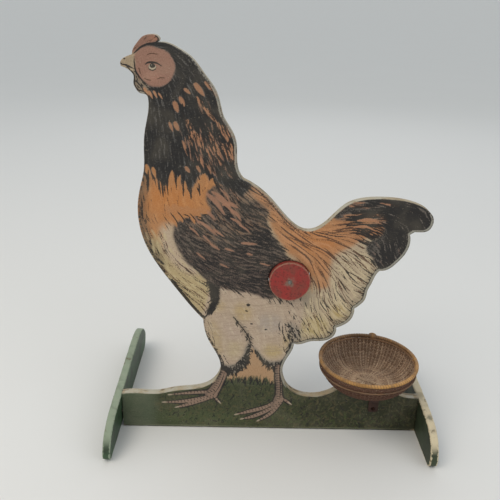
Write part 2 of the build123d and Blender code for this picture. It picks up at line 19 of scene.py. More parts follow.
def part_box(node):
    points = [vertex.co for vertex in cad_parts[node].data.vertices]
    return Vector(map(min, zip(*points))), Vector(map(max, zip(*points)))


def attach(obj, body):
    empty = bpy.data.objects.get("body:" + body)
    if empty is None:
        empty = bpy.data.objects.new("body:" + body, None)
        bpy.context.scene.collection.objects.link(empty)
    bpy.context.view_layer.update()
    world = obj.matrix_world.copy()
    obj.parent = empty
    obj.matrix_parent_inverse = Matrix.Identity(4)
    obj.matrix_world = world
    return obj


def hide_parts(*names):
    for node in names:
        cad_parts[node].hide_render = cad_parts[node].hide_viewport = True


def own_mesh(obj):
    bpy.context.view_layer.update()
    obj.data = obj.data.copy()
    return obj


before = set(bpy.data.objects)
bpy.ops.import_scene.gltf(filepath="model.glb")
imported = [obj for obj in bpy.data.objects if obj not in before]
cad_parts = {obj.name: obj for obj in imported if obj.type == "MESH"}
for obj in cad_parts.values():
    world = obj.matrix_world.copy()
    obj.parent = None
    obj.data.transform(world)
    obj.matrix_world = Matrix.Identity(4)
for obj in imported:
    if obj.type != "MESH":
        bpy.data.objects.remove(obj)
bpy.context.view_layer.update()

log = logging.getLogger("hen")
MM = 0.001
Colour = tuple[float, float, float, float]
Point = tuple[float, float, float]
Span = tuple[float, float]
Path = list[Span]
Node = bpy.types.Node
Socket = bpy.types.NodeSocket
Outputs = bpy.types.NodeOutputs
Tree = bpy.types.NodeTree
Piece = bpy.types.Object
Wired = dict[str, Socket]


def shade(code: str, gain: float = 1.0) -> Colour:
    """Turns a six-digit shade into a scene-linear colour.

    Args:
        code: Red, green and blue as two hexadecimal digits each.
        gain: Brightness factor.

    Returns:
        Red, green, blue and an alpha of one.
    """
    parts = [int(code[i : i + 2], 16) / 255 for i in (0, 2, 4)]
    linear = [c / 12.92 if c <= 0.04045 else ((c + 0.055) / 1.055) ** 2.4 for c in parts]
    return (linear[0] * gain, linear[1] * gain, linear[2] * gain, 1.0)


# ---- Shader nodes ----------------------------------------------------------------------


class Graph:
    """A node tree that is being wired."""

    def __init__(self, tree: Tree) -> None:
        """Keeps the tree."""
        self.tree = tree

    def node(self, kind: str, inputs: dict | None = None, **settings: object) -> Node:
        """Adds a node.

        Args:
            kind: The node's type without its ShaderNode prefix.
            inputs: Values or sockets by input name or number.
            settings: The node's own properties.

        Returns:
            The new node.
        """
        made = self.tree.nodes.new("ShaderNode" + kind)
        for key, value in settings.items():
            setattr(made, key, value)
        for key, value in (inputs or {}).items():
            if isinstance(value, Socket):
                self.tree.links.new(value, made.inputs[key])
            else:
                made.inputs[key].default_value = value
        return made

    def math(self, operation: str, a: object, b: object = 0.0, clamp: bool = False) -> Socket:
        """One arithmetic step on two values."""
        return self.node("Math", {0: a, 1: b}, operation=operation, use_clamp=clamp).outputs[0]

    def times(self, a: object, b: object) -> Socket:
        """The product of two values."""
        return self.math("MULTIPLY", a, b)

    def plus(self, a: object, b: object) -> Socket:
        """The sum of two values."""
        return self.math("ADD", a, b)

    def minus(self, a: object, b: object) -> Socket:
        """What is left of a without b."""
        return self.math("SUBTRACT", a, b)

    def mix(self, factor: object, a: object, b: object, blend: str = "MIX") -> Socket:
        """Colour a turning into b as factor goes from 0 to 1."""
        return self.node("Mix", {0: factor, 6: a, 7: b}, data_type="RGBA", blend_type=blend).outputs[2]

    def noise(self, vector: object, scale: object, detail: float = 3.0, distortion: float = 0.0) -> Socket:
        """Cloudy noise from 0 to 1."""
        inputs = {"Vector": vector, "Scale": scale, "Detail": detail, "Distortion": distortion}
        return self.node("TexNoise", inputs).outputs[0]

    def ramp(self, value: object, low: object, high: object, to_low: object = 0.0,
             to_high: object = 1.0) -> Socket:
        """Smooth step of a value between two limits."""
        inputs = {0: value, 1: low, 2: high, 3: to_low, 4: to_high}
        return self.node("MapRange", inputs, interpolation_type="SMOOTHSTEP").outputs[0]

    def stretch(self, vector: object, scale: Point) -> Socket:
        """A point scaled along each axis."""
        return self.node("Mapping", {"Vector": vector, "Scale": scale}).outputs[0]

    def value(self, name: str) -> Socket:
        """A number stored on the mesh."""
        return self.node("Attribute", attribute_name=name).outputs["Fac"]

    def effect(self, tree: Tree, inputs: dict) -> Outputs:
        """Places a shared node group with its own values and returns its outputs."""
        return self.node("Group", inputs, node_tree=tree).outputs


Wiring = Callable[[Graph, Outputs], Wired]


def shared(name: str, inputs: dict, outputs: dict, wire: Wiring) -> Tree:
    """A shader node group, built the first time it is asked for.

    Args:
        name: The group's name.
        inputs: Default value of each input socket by name; its type follows from the value.
        outputs: An example value of each output socket by name.
        wire: Wires the group and returns the socket behind each output.

    Returns:
        The group's node tree.
    """
    tree = bpy.data.node_groups.get(name)
    if tree is not None:
        return tree
    tree = bpy.data.node_groups.new(name, "ShaderNodeTree")
    for way, sockets in (("INPUT", inputs), ("OUTPUT", outputs)):
        for label, example in sockets.items():
            length = len(example) if isinstance(example, tuple) else 1
            kind = {1: "NodeSocketFloat", 3: "NodeSocketVector", 4: "NodeSocketColor"}[length]
            tree.interface.new_socket(label, in_out=way, socket_type=kind).default_value = example
    source, sink = tree.nodes.new("NodeGroupInput"), tree.nodes.new("NodeGroupOutput")
    for label, socket in wire(Graph(tree), source.outputs).items():
        tree.links.new(socket, sink.inputs[label])
    return tree


WHITE, GREY = (1.0, 1.0, 1.0, 1.0), (0.5, 0.5, 0.5, 1.0)
ORIGIN = (0.0, 0.0, 0.0)
UPWARDS = (0.0, 0.0, 1.0)


def timber_grain() -> Tree:
    """Long fibres and growth bands along the vector's own axis."""

    def wire(g: Graph, given: Outputs) -> Wired:
        """Bands from one distorted cloud, crossed by fine fibres."""
        cloud = g.noise(given["Vector"], 1.0, 2.0, 0.4)
        bands = g.math("SINE", g.times(cloud, given["Bands"]))
        fibres = g.noise(given["Vector"], 9.0, 8.0)
        blend = g.plus(g.times(bands, 0.22), g.times(fibres, 1.1))
        factor = g.ramp(blend, 0.2, 0.95)
        return {"Color": g.mix(factor, given["Dark"], given["Light"]), "Height": factor}

    inputs = {"Vector": ORIGIN, "Bands": 40.0, "Light": WHITE, "Dark": GREY}
    return shared("Timber grain", inputs, {"Color": WHITE, "Height": 0.0}, wire)


def speckle() -> Tree:
    """Scattered ragged spots: chips, fly spots and missing ink."""

    def wire(g: Graph, given: Outputs) -> Wired:
        """Noise cut off at a level that the cover sets."""
        cloud = g.noise(given["Vector"], given["Scale"], 5.0, 0.3)
        level = g.minus(0.72, g.times(given["Cover"], 0.4))
        return {"Mask": g.ramp(cloud, level, g.plus(level, 0.06))}

    return shared("Speckle", {"Vector": ORIGIN, "Scale": 300.0, "Cover": 0.3}, {"Mask": 0.0}, wire)


def edge_rub() -> Tree:
    """Paint rubbed away near an edge, with a ragged border."""

    def wire(g: Graph, given: Outputs) -> Wired:
        """Nearness to the edge plus noise, cut off."""
        near = g.math("SUBTRACT", 1.0, g.math("DIVIDE", given["Distance"], given["Reach"]), True)
        cloud = g.noise(given["Vector"], 260.0, 6.0)
        return {"Mask": g.ramp(g.plus(near, g.times(cloud, 1.1)), 0.98, 1.22)}

    inputs = {"Vector": ORIGIN, "Distance": 0.0, "Reach": 0.004}
    return shared("Edge rub", inputs, {"Mask": 0.0}, wire)


def mottle() -> Tree:
    """Two tones that drift into each other over an aged surface."""

    def wire(g: Graph, given: Outputs) -> Wired:
        """A coarse cloud with a finer one on top."""
        coarse = g.noise(given["Vector"], given["Scale"], 4.0, 0.6)
        fine = g.noise(given["Vector"], g.times(given["Scale"], 9.0), 3.0)
        both = g.plus(g.times(coarse, 0.7), g.times(fine, 0.3))
        factor = g.ramp(both, 0.38, 0.62)
        return {"Color": g.mix(factor, given["First"], given["Second"]), "Mask": factor}

    inputs = {"Vector": ORIGIN, "Scale": 30.0, "First": WHITE, "Second": GREY}
    return shared("Mottle", inputs, {"Color": WHITE, "Mask": 0.0}, wire)


def settled_dust() -> Tree:
    """A thin grey film on surfaces that face up."""

    def wire(g: Graph, given: Outputs) -> Wired:
        """The upward part of the normal, broken by noise."""
        up = g.node("SeparateXYZ", {0: g.node("NewGeometry").outputs["Normal"]}).outputs[2]
        cloud = g.noise(given["Vector"], 90.0, 5.0)
        film = g.times(g.ramp(up, 0.1, 1.0), g.ramp(cloud, 0.3, 0.7))
        return {"Mask": g.times(film, given["Amount"])}

    return shared("Settled dust", {"Vector": ORIGIN, "Amount": 0.2}, {"Mask": 0.0}, wire)


DUST = shade("b5ac9c")


def grained(g: Graph, vector: Socket, bands: float, light: Colour, dark: Colour) -> Outputs:
    """Timber grain between a light and a dark tone, with its relief."""
    return g.effect(timber_grain(), {"Vector": vector, "Bands": bands, "Light": light, "Dark": dark})


def mottled(g: Graph, point: Socket, scale: float, first: Colour, second: Colour) -> Outputs:
    """Two tones that drift into each other, with the mask between them."""
    return g.effect(mottle(), {"Vector": point, "Scale": scale, "First": first, "Second": second})


def spotted(g: Graph, point: Socket, scale: float, cover: float) -> Socket:
    """A mask of ragged spots."""
    return g.effect(speckle(), {"Vector": point, "Scale": scale, "Cover": cover})["Mask"]


def rubbed(g: Graph, point: Socket, reach: float) -> Socket:
    """A mask of paint rubbed away near the piece's edges."""
    inputs = {"Vector": point, "Distance": g.value("edge_distance"), "Reach": reach}
    return g.effect(edge_rub(), inputs)["Mask"]


def dusted(g: Graph, point: Socket, colour: Socket, amount: float) -> Socket:
    """A colour under a film of dust."""
    return g.mix(g.effect(settled_dust(), {"Vector": point, "Amount": amount})["Mask"], colour, DUST)


# ---- Finishes ----------------------------------------------------------------------------


@dataclass(frozen=True)
class Finish:
    """A surface finish, turned into a material when it is first used."""

    name: str
    gloss = 0.3

    def material(self) -> bpy.types.Material:
        """The finish's material, built once."""
        made = bpy.data.materials.get(self.name)
        if made is None:
            made = bpy.data.materials.new(self.name)
            made.use_nodes = True
            made.node_tree.nodes.clear()
            graph = Graph(made.node_tree)
            shader = graph.node("BsdfPrincipled", {"Specular IOR Level": self.gloss})
            graph.node("OutputMaterial", {"Surface": shader.outputs[0]})
            self.wire(graph, shader, graph.node("TexCoord").outputs["Object"])
        return made

    def wire(self, g: Graph, shader: Node, point: Socket) -> None:
        """Wires the shader.

        Args:
            g: The material's graph.
            shader: Its Principled shader.
            point: The point on the piece, in metres.
        """
        raise NotImplementedError

    @staticmethod
    def finish(g: Graph, shader: Node, colour: object, roughness: object, height: object,
               depth: float) -> None:
        """Joins colour, roughness and relief to the shader.

        Args:
            g: The material's graph.
            shader: Its Principled shader.
            colour: Base colour.
            roughness: Roughness.
            height: Relief from 0 to 1.
            depth: The relief's depth in metres.
        """
        g.tree.links.new(colour, shader.inputs["Base Color"])
        g.tree.links.new(roughness, shader.inputs["Roughness"])
        bump = g.node("Bump", {"Height": height, "Distance": depth, "Strength": 1.0})
        g.tree.links.new(bump.outputs[0], shader.inputs["Normal"])


@dataclass(frozen=True)
class Timber(Finish):
    """Bare or sealed wood. Grain is the scale along each axis, smallest along the fibres."""

    light: Colour = WHITE
    dark: Colour = GREY
    grain: Point = (60.0, 60.0, 6.0)
    bands: float = 40.0
    sheen: float = 0.55
    dust: float = 0.15

    def wire(self, g: Graph, shader: Node, point: Socket) -> None:
        """Grain, handling marks and dust."""
        wood = grained(g, g.stretch(point, self.grain), self.bands, self.light, self.dark)
        marks = spotted(g, point, 210.0, 0.12)
        colour = g.mix(g.times(marks, 0.35), wood["Color"], self.dark)
        roughness = g.ramp(wood["Height"], 0.0, 1.0, self.sheen + 0.12, self.sheen)
        self.finish(g, shader, dusted(g, point, colour, self.dust), roughness, wood["Height"], 0.00025)


@dataclass(frozen=True)
class SawnPly(Finish):
    """The board: an old painted edge worn to its plies, and a bare aged back."""

    paint: Colour = WHITE
    wood: Colour = WHITE
    core: Colour = GREY
    plies: int = 3
    thickness: float = 0.01

    def wire(self, g: Graph, shader: Node, point: Socket) -> None:
        """Plies by depth, paint over them on the edges, grain on the back."""
        depth = g.node("SeparateXYZ", {0: point}).outputs[1]
        pitch = self.thickness / self.plies
        wobble = g.times(g.noise(point, 120.0, 3.0), 0.0012)
        layer = g.math("SINE", g.times(g.plus(depth, wobble), math.pi / pitch))
        ply = g.ramp(layer, -0.25, 0.25)
        edge = g.mix(ply, self.core, self.wood)
        cover = g.ramp(g.noise(point, 75.0, 6.0), 0.36, 0.5)
        painted = mottled(g, point, 45.0, self.paint, self.wood)["Color"]
        edge = g.mix(g.times(cover, 0.85), edge, painted)
        rear = grained(g, g.stretch(point, (7.0, 60.0, 70.0)), 55.0, self.wood, self.core)
        facing = g.node("SeparateXYZ", {0: g.node("NewGeometry").outputs["Normal"]}).outputs[1]
        colour = g.mix(g.ramp(facing, 0.6, 0.9), edge, rear["Color"])
        height = g.plus(g.times(ply, 0.5), rear["Height"])
        rough = g.ramp(cover, 0.0, 1.0, 0.78, 0.6)
        self.finish(g, shader, dusted(g, point, colour, 0.25), rough, height, 0.0002)


@dataclass(frozen=True)
class RubbedPaint(Finish):
    """Thick old paint over a primer, rubbed through along its edges and on top."""

    paint: Colour = WHITE
    deep: Colour = GREY
    primer: Colour = WHITE
    wood: Colour = GREY
    reach: float = 0.004
    topped: float = 1.0
    grime: float = 0.4

    def wire(self, g: Graph, shader: Node, point: Socket) -> None:
        """Two tones of paint, a rubbed primer, chips down to the wood and brushed-on grime."""
        tones = mottled(g, point, 26.0, self.deep, self.paint)
        brush = g.noise(g.stretch(point, (260.0, 22.0, 260.0)), 1.0, 4.0)
        colour = g.mix(g.times(g.ramp(brush, 0.35, 0.65), 0.25), tones["Color"], self.deep)
        rub = rubbed(g, point, self.reach)
        up = g.node("SeparateXYZ", {0: g.node("NewGeometry").outputs["Normal"]}).outputs[2]
        top = g.times(g.ramp(up, 0.25, 0.7), self.topped)
        worn = g.math("MAXIMUM", rub, g.times(top, g.ramp(g.noise(point, 55.0, 6.0), 0.2, 0.44)))
        colour = g.mix(worn, colour, self.primer)
        bare = spotted(g, point, 95.0, 0.2)
        chips = g.times(bare, g.plus(g.times(worn, 0.8), 0.08))
        colour = g.mix(chips, colour, self.wood)
        dirt = g.times(g.ramp(g.noise(point, 38.0, 7.0, 0.8), 0.5, 0.72), self.grime)
        colour = g.mix(dirt, colour, g.mix(0.5, self.deep, self.wood), "MULTIPLY")
        height = g.minus(g.times(brush, 0.4), g.times(chips, 0.8))
        rough = g.ramp(worn, 0.0, 1.0, 0.5, 0.68)
        self.finish(g, shader, dusted(g, point, colour, 0.12), rough, height, 0.0002)


@dataclass(frozen=True)
class ButtonPaint(Finish):
    """Red paint on the button, worn in the middle and round the rim by many hands."""

    red: Colour = WHITE
    bright: Colour = WHITE
    worn: Colour = GREY
    rim: Colour = GREY

    def wire(self, g: Graph, shader: Node, point: Socket) -> None:
        """Mottled red, a bald centre, a rubbed rim and dark pits."""
        colour = mottled(g, point, 70.0, self.red, self.bright)["Color"]
        middle = g.value("middle_distance")
        cloud = g.noise(point, 150.0, 6.0, 0.5)
        bald = g.ramp(g.minus(g.times(cloud, 2.0), g.math("DIVIDE", middle, 0.0085)), 0.1, 0.9)
        colour = g.mix(g.times(bald, 0.85), colour, self.worn)
        rub = rubbed(g, point, 0.0028)
        colour = g.mix(g.times(rub, 0.6), colour, self.rim)
        pits = spotted(g, point, 420.0, 0.42)
        colour = g.mix(g.times(pits, 0.4), colour, shade("3a201c"))
        height = g.minus(cloud, g.times(pits, 0.6))
        self.finish(g, shader, colour, g.ramp(cloud, 0.2, 0.8, 0.42, 0.62), height, 0.00025)


@dataclass(frozen=True)
class Metal(Finish):
    """Plain metal with a film of tarnish."""

    bright: Colour = WHITE
    tarnish: Colour = GREY
    sheen: float = 0.35

    def wire(self, g: Graph, shader: Node, point: Socket) -> None:
        """Bright metal under spots and clouds of tarnish."""
        tones = mottled(g, point, 160.0, self.bright, self.tarnish)
        spots = spotted(g, point, 700.0, 0.3)
        colour = g.mix(g.times(spots, 0.6), tones["Color"], self.tarnish)
        metal = g.ramp(spots, 0.0, 1.0, 1.0, 0.55)
        g.tree.links.new(metal, shader.inputs["Metallic"])
        rough = g.ramp(tones["Mask"], 0.0, 1.0, self.sheen, self.sheen + 0.25)
        self.finish(g, shader, colour, rough, spots, 0.00004)


@dataclass(frozen=True)
class Cane(Finish):
    """Split cane. Each strand has its own tone, and fibres run along it."""

    light: Colour = WHITE
    dark: Colour = GREY
    # This tone serves both as stain and as painted shade deep in the weave.
    stain: Colour = GREY
    aged: float = 0.5
    outside: Colour = GREY

    def wire(self, g: Graph, shader: Node, point: Socket) -> None:
        """A tone for each strand, fibres along it, painted shade where strands lie deep, stain in noise
        clouds and dust on top.
        """
        tone = g.value("strand_tone")
        along = g.node("CombineXYZ", {0: g.times(g.value("along"), 90.0),
                                      1: g.times(g.value("around"), 5.0),
                                      2: g.times(tone, 37.0)}).outputs[0]
        fibres = g.noise(along, 1.0, 5.0)
        colour = g.mix(g.ramp(g.plus(g.times(tone, 0.6), g.times(fibres, 0.5)), 0.2, 0.9),
                       self.dark, self.light)
        # Painted shade: strands darken where they lie deep between their neighbours, and the backing sheet is
        # fully darkened; the noise clouds are stain.
        hollow = g.ramp(g.value("hollow"), 0.25, 0.9)
        cloud = g.ramp(g.noise(point, 42.0, 5.0, 0.6), 0.38, 0.66)
        stain_and_shade = g.times(g.math("MAXIMUM", hollow, g.times(cloud, 0.6)), self.aged)
        colour = g.mix(stain_and_shade, colour, self.stain)
        colour = g.mix(g.times(g.value("outer"), 0.75), colour, self.outside)
        rough = g.ramp(fibres, 0.2, 0.8, 0.6, 0.82)
        self.finish(g, shader, dusted(g, point, colour, 0.12), rough, fibres, 0.00008)


@dataclass(frozen=True)
class Leather(Finish):
    """Old strap leather with creases and rubbed high spots."""

    skin: Colour = WHITE
    rubbed: Colour = GREY

    def wire(self, g: Graph, shader: Node, point: Socket) -> None:
        """Pebbled grain, cross creases and a rubbed tone."""
        cells = g.node("TexVoronoi", {"Vector": point, "Scale": 1100.0},
                       feature="SMOOTH_F1").outputs["Distance"]
        creases = g.noise(g.stretch(point, (60.0, 300.0, 420.0)), 1.0, 5.0, 0.5)
        tones = mottled(g, point, 90.0, self.skin, self.rubbed)
        colour = g.mix(g.times(g.ramp(creases, 0.5, 0.7), 0.5), tones["Color"], self.skin)
        height = g.plus(g.times(cells, 0.5), creases)
        self.finish(g, shader, colour, g.ramp(creases, 0.3, 0.7, 0.5, 0.72), height, 0.0002)


@dataclass(frozen=True)
class PrintedPaper(Finish):
    """The coloured print: tinted paper, grainy brown and black ink, cracks and rubbed edges."""

    black: Colour = GREY
    brown: Colour = GREY
    paper: Colour = WHITE

    def wire(self, g: Graph, shader: Node, point: Socket) -> None:
        """Inks cut off against a fine stone grain, then cracks, scuffs and the worn rim."""
        tint = g.node("Attribute", attribute_name="tint").outputs["Color"]
        grain = g.noise(point, 820.0, 3.0, 0.2)
        patchy = g.noise(point, 36.0, 5.0, 0.5)
        colour = g.mix(g.ramp(grain, 0.3, 0.7, 0.0, 0.3), tint, g.mix(1.0, tint, tint, "MULTIPLY"))
        for name, ink in (("brown", self.brown), ("black", self.black)):
            level = g.plus(g.value(name), g.times(g.minus(grain, 0.5), 0.8))
            colour = g.mix(g.times(g.ramp(level, 0.3, 0.62), 0.95), colour, ink)
        fading = g.ramp(patchy, 0.4, 0.75, 0.0, 0.08)
        colour = g.mix(fading, colour, self.paper)
        cracks = g.ramp(g.noise(g.stretch(point, (55.0, 1.0, 1500.0)), 1.0, 3.0, 0.3), 0.66, 0.72)
        colour = g.mix(g.times(cracks, 0.16), colour, self.paper)
        scuffs = spotted(g, point, 520.0, 0.16)
        colour = g.mix(g.times(scuffs, 0.25), colour, self.paper)
        rim = g.ramp(g.plus(g.value("rim"), g.times(g.noise(point, 240.0, 5.0), 0.5)), 0.25, 0.5)
        colour = g.mix(rim, g.mix(0.6, self.paper, colour), colour)
        height = g.minus(g.times(grain, 0.5), g.plus(cracks, scuffs))
        self.finish(g, shader, colour, g.ramp(patchy, 0.3, 0.7, 0.52, 0.68), height, 0.00006)


@dataclass(frozen=True)
class PaleFloor(Finish):
    """The studio floor."""

    tone: Colour = WHITE

    def wire(self, g: Graph, shader: Node, point: Socket) -> None:
        """A plain pale tone with a trace of unevenness."""
        cloud = g.noise(point, 3.0, 2.0)
        colour = g.mix(g.times(cloud, 0.04), self.tone, GREY)
        self.finish(g, shader, colour, g.ramp(cloud, 0.0, 1.0, 0.7, 0.8), cloud, 0.00001)


# ---- Meshes ------------------------------------------------------------------------------


class Slot(Enum):
    """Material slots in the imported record."""

    PRINT = "printed_paper"
    FOOT = "foot_paint"
    BUTTON = "button_paint"
    SPRING = "spring_steel"
    CANE = "cane"
    RIM = "rim_cane"


@dataclass
class Weave:
    """Tubes and surfaces gathered into one mesh, with numbers for each vertex."""

    points: list[np.ndarray] = field(default_factory=list)
    faces: list[tuple[int, ...]] = field(default_factory=list)
    numbers: dict[str, list[np.ndarray]] = field(default_factory=dict)
    count: int = 0

    def sheet(self, rows: np.ndarray, closed: tuple[bool, bool], **numbers: np.ndarray) -> None:
        """Adds a grid of points.

        Args:
            rows: Points by row and column.
            closed: Whether the rows and the columns run round in a ring.
            numbers: A value for each point, by name.
        """
        high, wide = rows.shape[:2]
        for i in range(high if closed[0] else high - 1):
            for j in range(wide if closed[1] else wide - 1):
                a, b = i * wide, (i + 1) % high * wide
                k = (j + 1) % wide
                self.faces.append(tuple(self.count + n for n in (a + j, a + k, b + k, b + j)))
        self.points.append(rows.reshape(-1, 3))
        self.count += high * wide
        for name, values in numbers.items():
            self.numbers.setdefault(name, []).append(np.broadcast_to(values, (high, wide)).ravel())

    def tube(self, path: np.ndarray, up: np.ndarray | Point, half: Span, closed: bool, tone: float = 0.5,
             hollow: np.ndarray | float = 0.0, sides: int = 6, taper: np.ndarray | float = 1.0) -> None:
        """Adds a strand along a path.

        Args:
            path: Points along the strand.
            up: Direction that the strand's second half size follows, for all points or for each.
            half: Half size across and along up.
            closed: Whether the path runs round in a ring.
            tone: The strand's own tone, from 0 to 1.
            hollow: How deep each point lies between its neighbours, from 0 to 1; the cane finish turns it
                into painted shade.
            sides: Corners of the section.
            taper: Scale of the section at each point.
        """
        if closed:
            ahead = np.roll(path, -1, 0) - np.roll(path, 1, 0)
        else:
            ahead = np.gradient(path, axis=0)
        ahead /= np.linalg.norm(ahead, axis=1)[:, None]
        side = np.cross(ahead, up)
        side /= np.linalg.norm(side, axis=1)[:, None]
        over = np.cross(side, ahead)
        turn = np.arange(sides) * 2 * np.pi / sides
        size = np.broadcast_to(taper, len(path))[:, None, None]
        across, along = (part[None, :, None] for part in (half[0] * np.cos(turn), half[1] * np.sin(turn)))
        ring = across * side[:, None] + along * over[:, None]
        steps = np.linalg.norm(np.diff(path, axis=0, prepend=path[:1]), axis=1).cumsum()
        self.sheet(path[:, None] + ring * size, (closed, True), strand_tone=np.float64(tone),
                   along=steps[:, None], around=(turn / (2 * np.pi))[None, :],
                   hollow=np.broadcast_to(hollow, len(path))[:, None])
        if not closed:
            first = self.count - len(path) * sides
            self.faces.append(tuple(first + n for n in reversed(range(sides))))
            self.faces.append(tuple(self.count - sides + n for n in range(sides)))

    def build(self, name: str) -> Piece:
        """The gathered mesh as an object with its numbers stored on the vertices."""
        values = {key: np.concatenate(parts) for key, parts in self.numbers.items()}
        return solid(name, np.concatenate(self.points), self.faces, values)


def solid(name: str, points: np.ndarray, faces: Sequence, numbers: dict[str, np.ndarray]) -> Piece:
    """Makes a smooth mesh object.

    Args:
        name: The piece's name.
        points: Its vertices in metres.
        faces: Vertex numbers of each face.
        numbers: One value, or one colour of three parts, for each vertex by name.

    Returns:
        The new object.
    """
    mesh = bpy.data.meshes.new(name)
    mesh.from_pydata(points.tolist(), [], faces)
    for key, values in numbers.items():
        if values.ndim == 2:
            rgba = np.column_stack([values, np.ones(len(values))]).astype(np.float32)
            mesh.attributes.new(key, "FLOAT_COLOR", "POINT").data.foreach_set("color", rgba.ravel())
        else:
            mesh.attributes.new(key, "FLOAT", "POINT").data.foreach_set("value", values.astype(np.float32))
    mesh.shade_smooth()
    made = bpy.data.objects.new(name, mesh)
    bpy.context.scene.collection.objects.link(made)
    return made


def fit(made: Piece, finish: Finish, body: str, slot: Slot, *nodes: str) -> Piece:
    """Dresses a piece and puts it in place of CAD nodes.

    Args:
        made: The piece.
        finish: Its finish.
        body: The CAD body that it moves with.
        slot: The record's slot for its finish; not used.
        nodes: The CAD nodes that it stands for.

    Returns:
        The same piece.
    """
    made.data.materials.clear()
    made.data.materials.append(finish.material())
    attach(made, body)
    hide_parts(*nodes)
    log.info("%s: %d faces on %s", made.name, len(made.data.polygons), body)
    return made


def rounded(corners: np.ndarray, times: int = 2) -> np.ndarray:
    """A closed loop with its corners cut a few times."""
    for _ in range(times):
        after = np.roll(corners, -1, 0)
        corners = np.stack([0.75 * corners + 0.25 * after, 0.25 * corners + 0.75 * after], 1).reshape(-1, 2)
    return corners


def through(points: Sequence, steps: int = 6) -> np.ndarray:
    """A smooth open curve through points (Catmull-Rom)."""
    p = np.array(points, float)
    p = np.vstack([2 * p[0] - p[1], p, 2 * p[-1] - p[-2]])
    t = np.linspace(0, 1, steps, endpoint=False)[:, None]
    parts = []
    for a, b, c, d in zip(p, p[1:], p[2:], p[3:]):
        parts.append(0.5 * (2 * b + (c - a) * t + (2 * a - 5 * b + 4 * c - d) * t**2
                            + (3 * b - a - 3 * c + d) * t**3))
    return np.vstack([*parts, p[-2][None]])


# ---- The printed hen ---------------------------------------------------------------------


class Layer(Enum):
    """What a stroke is drawn with."""

    TINT = "tint"
    BROWN = "brown"
    BLACK = "black"


TINT, BROWN, BLACK = Layer


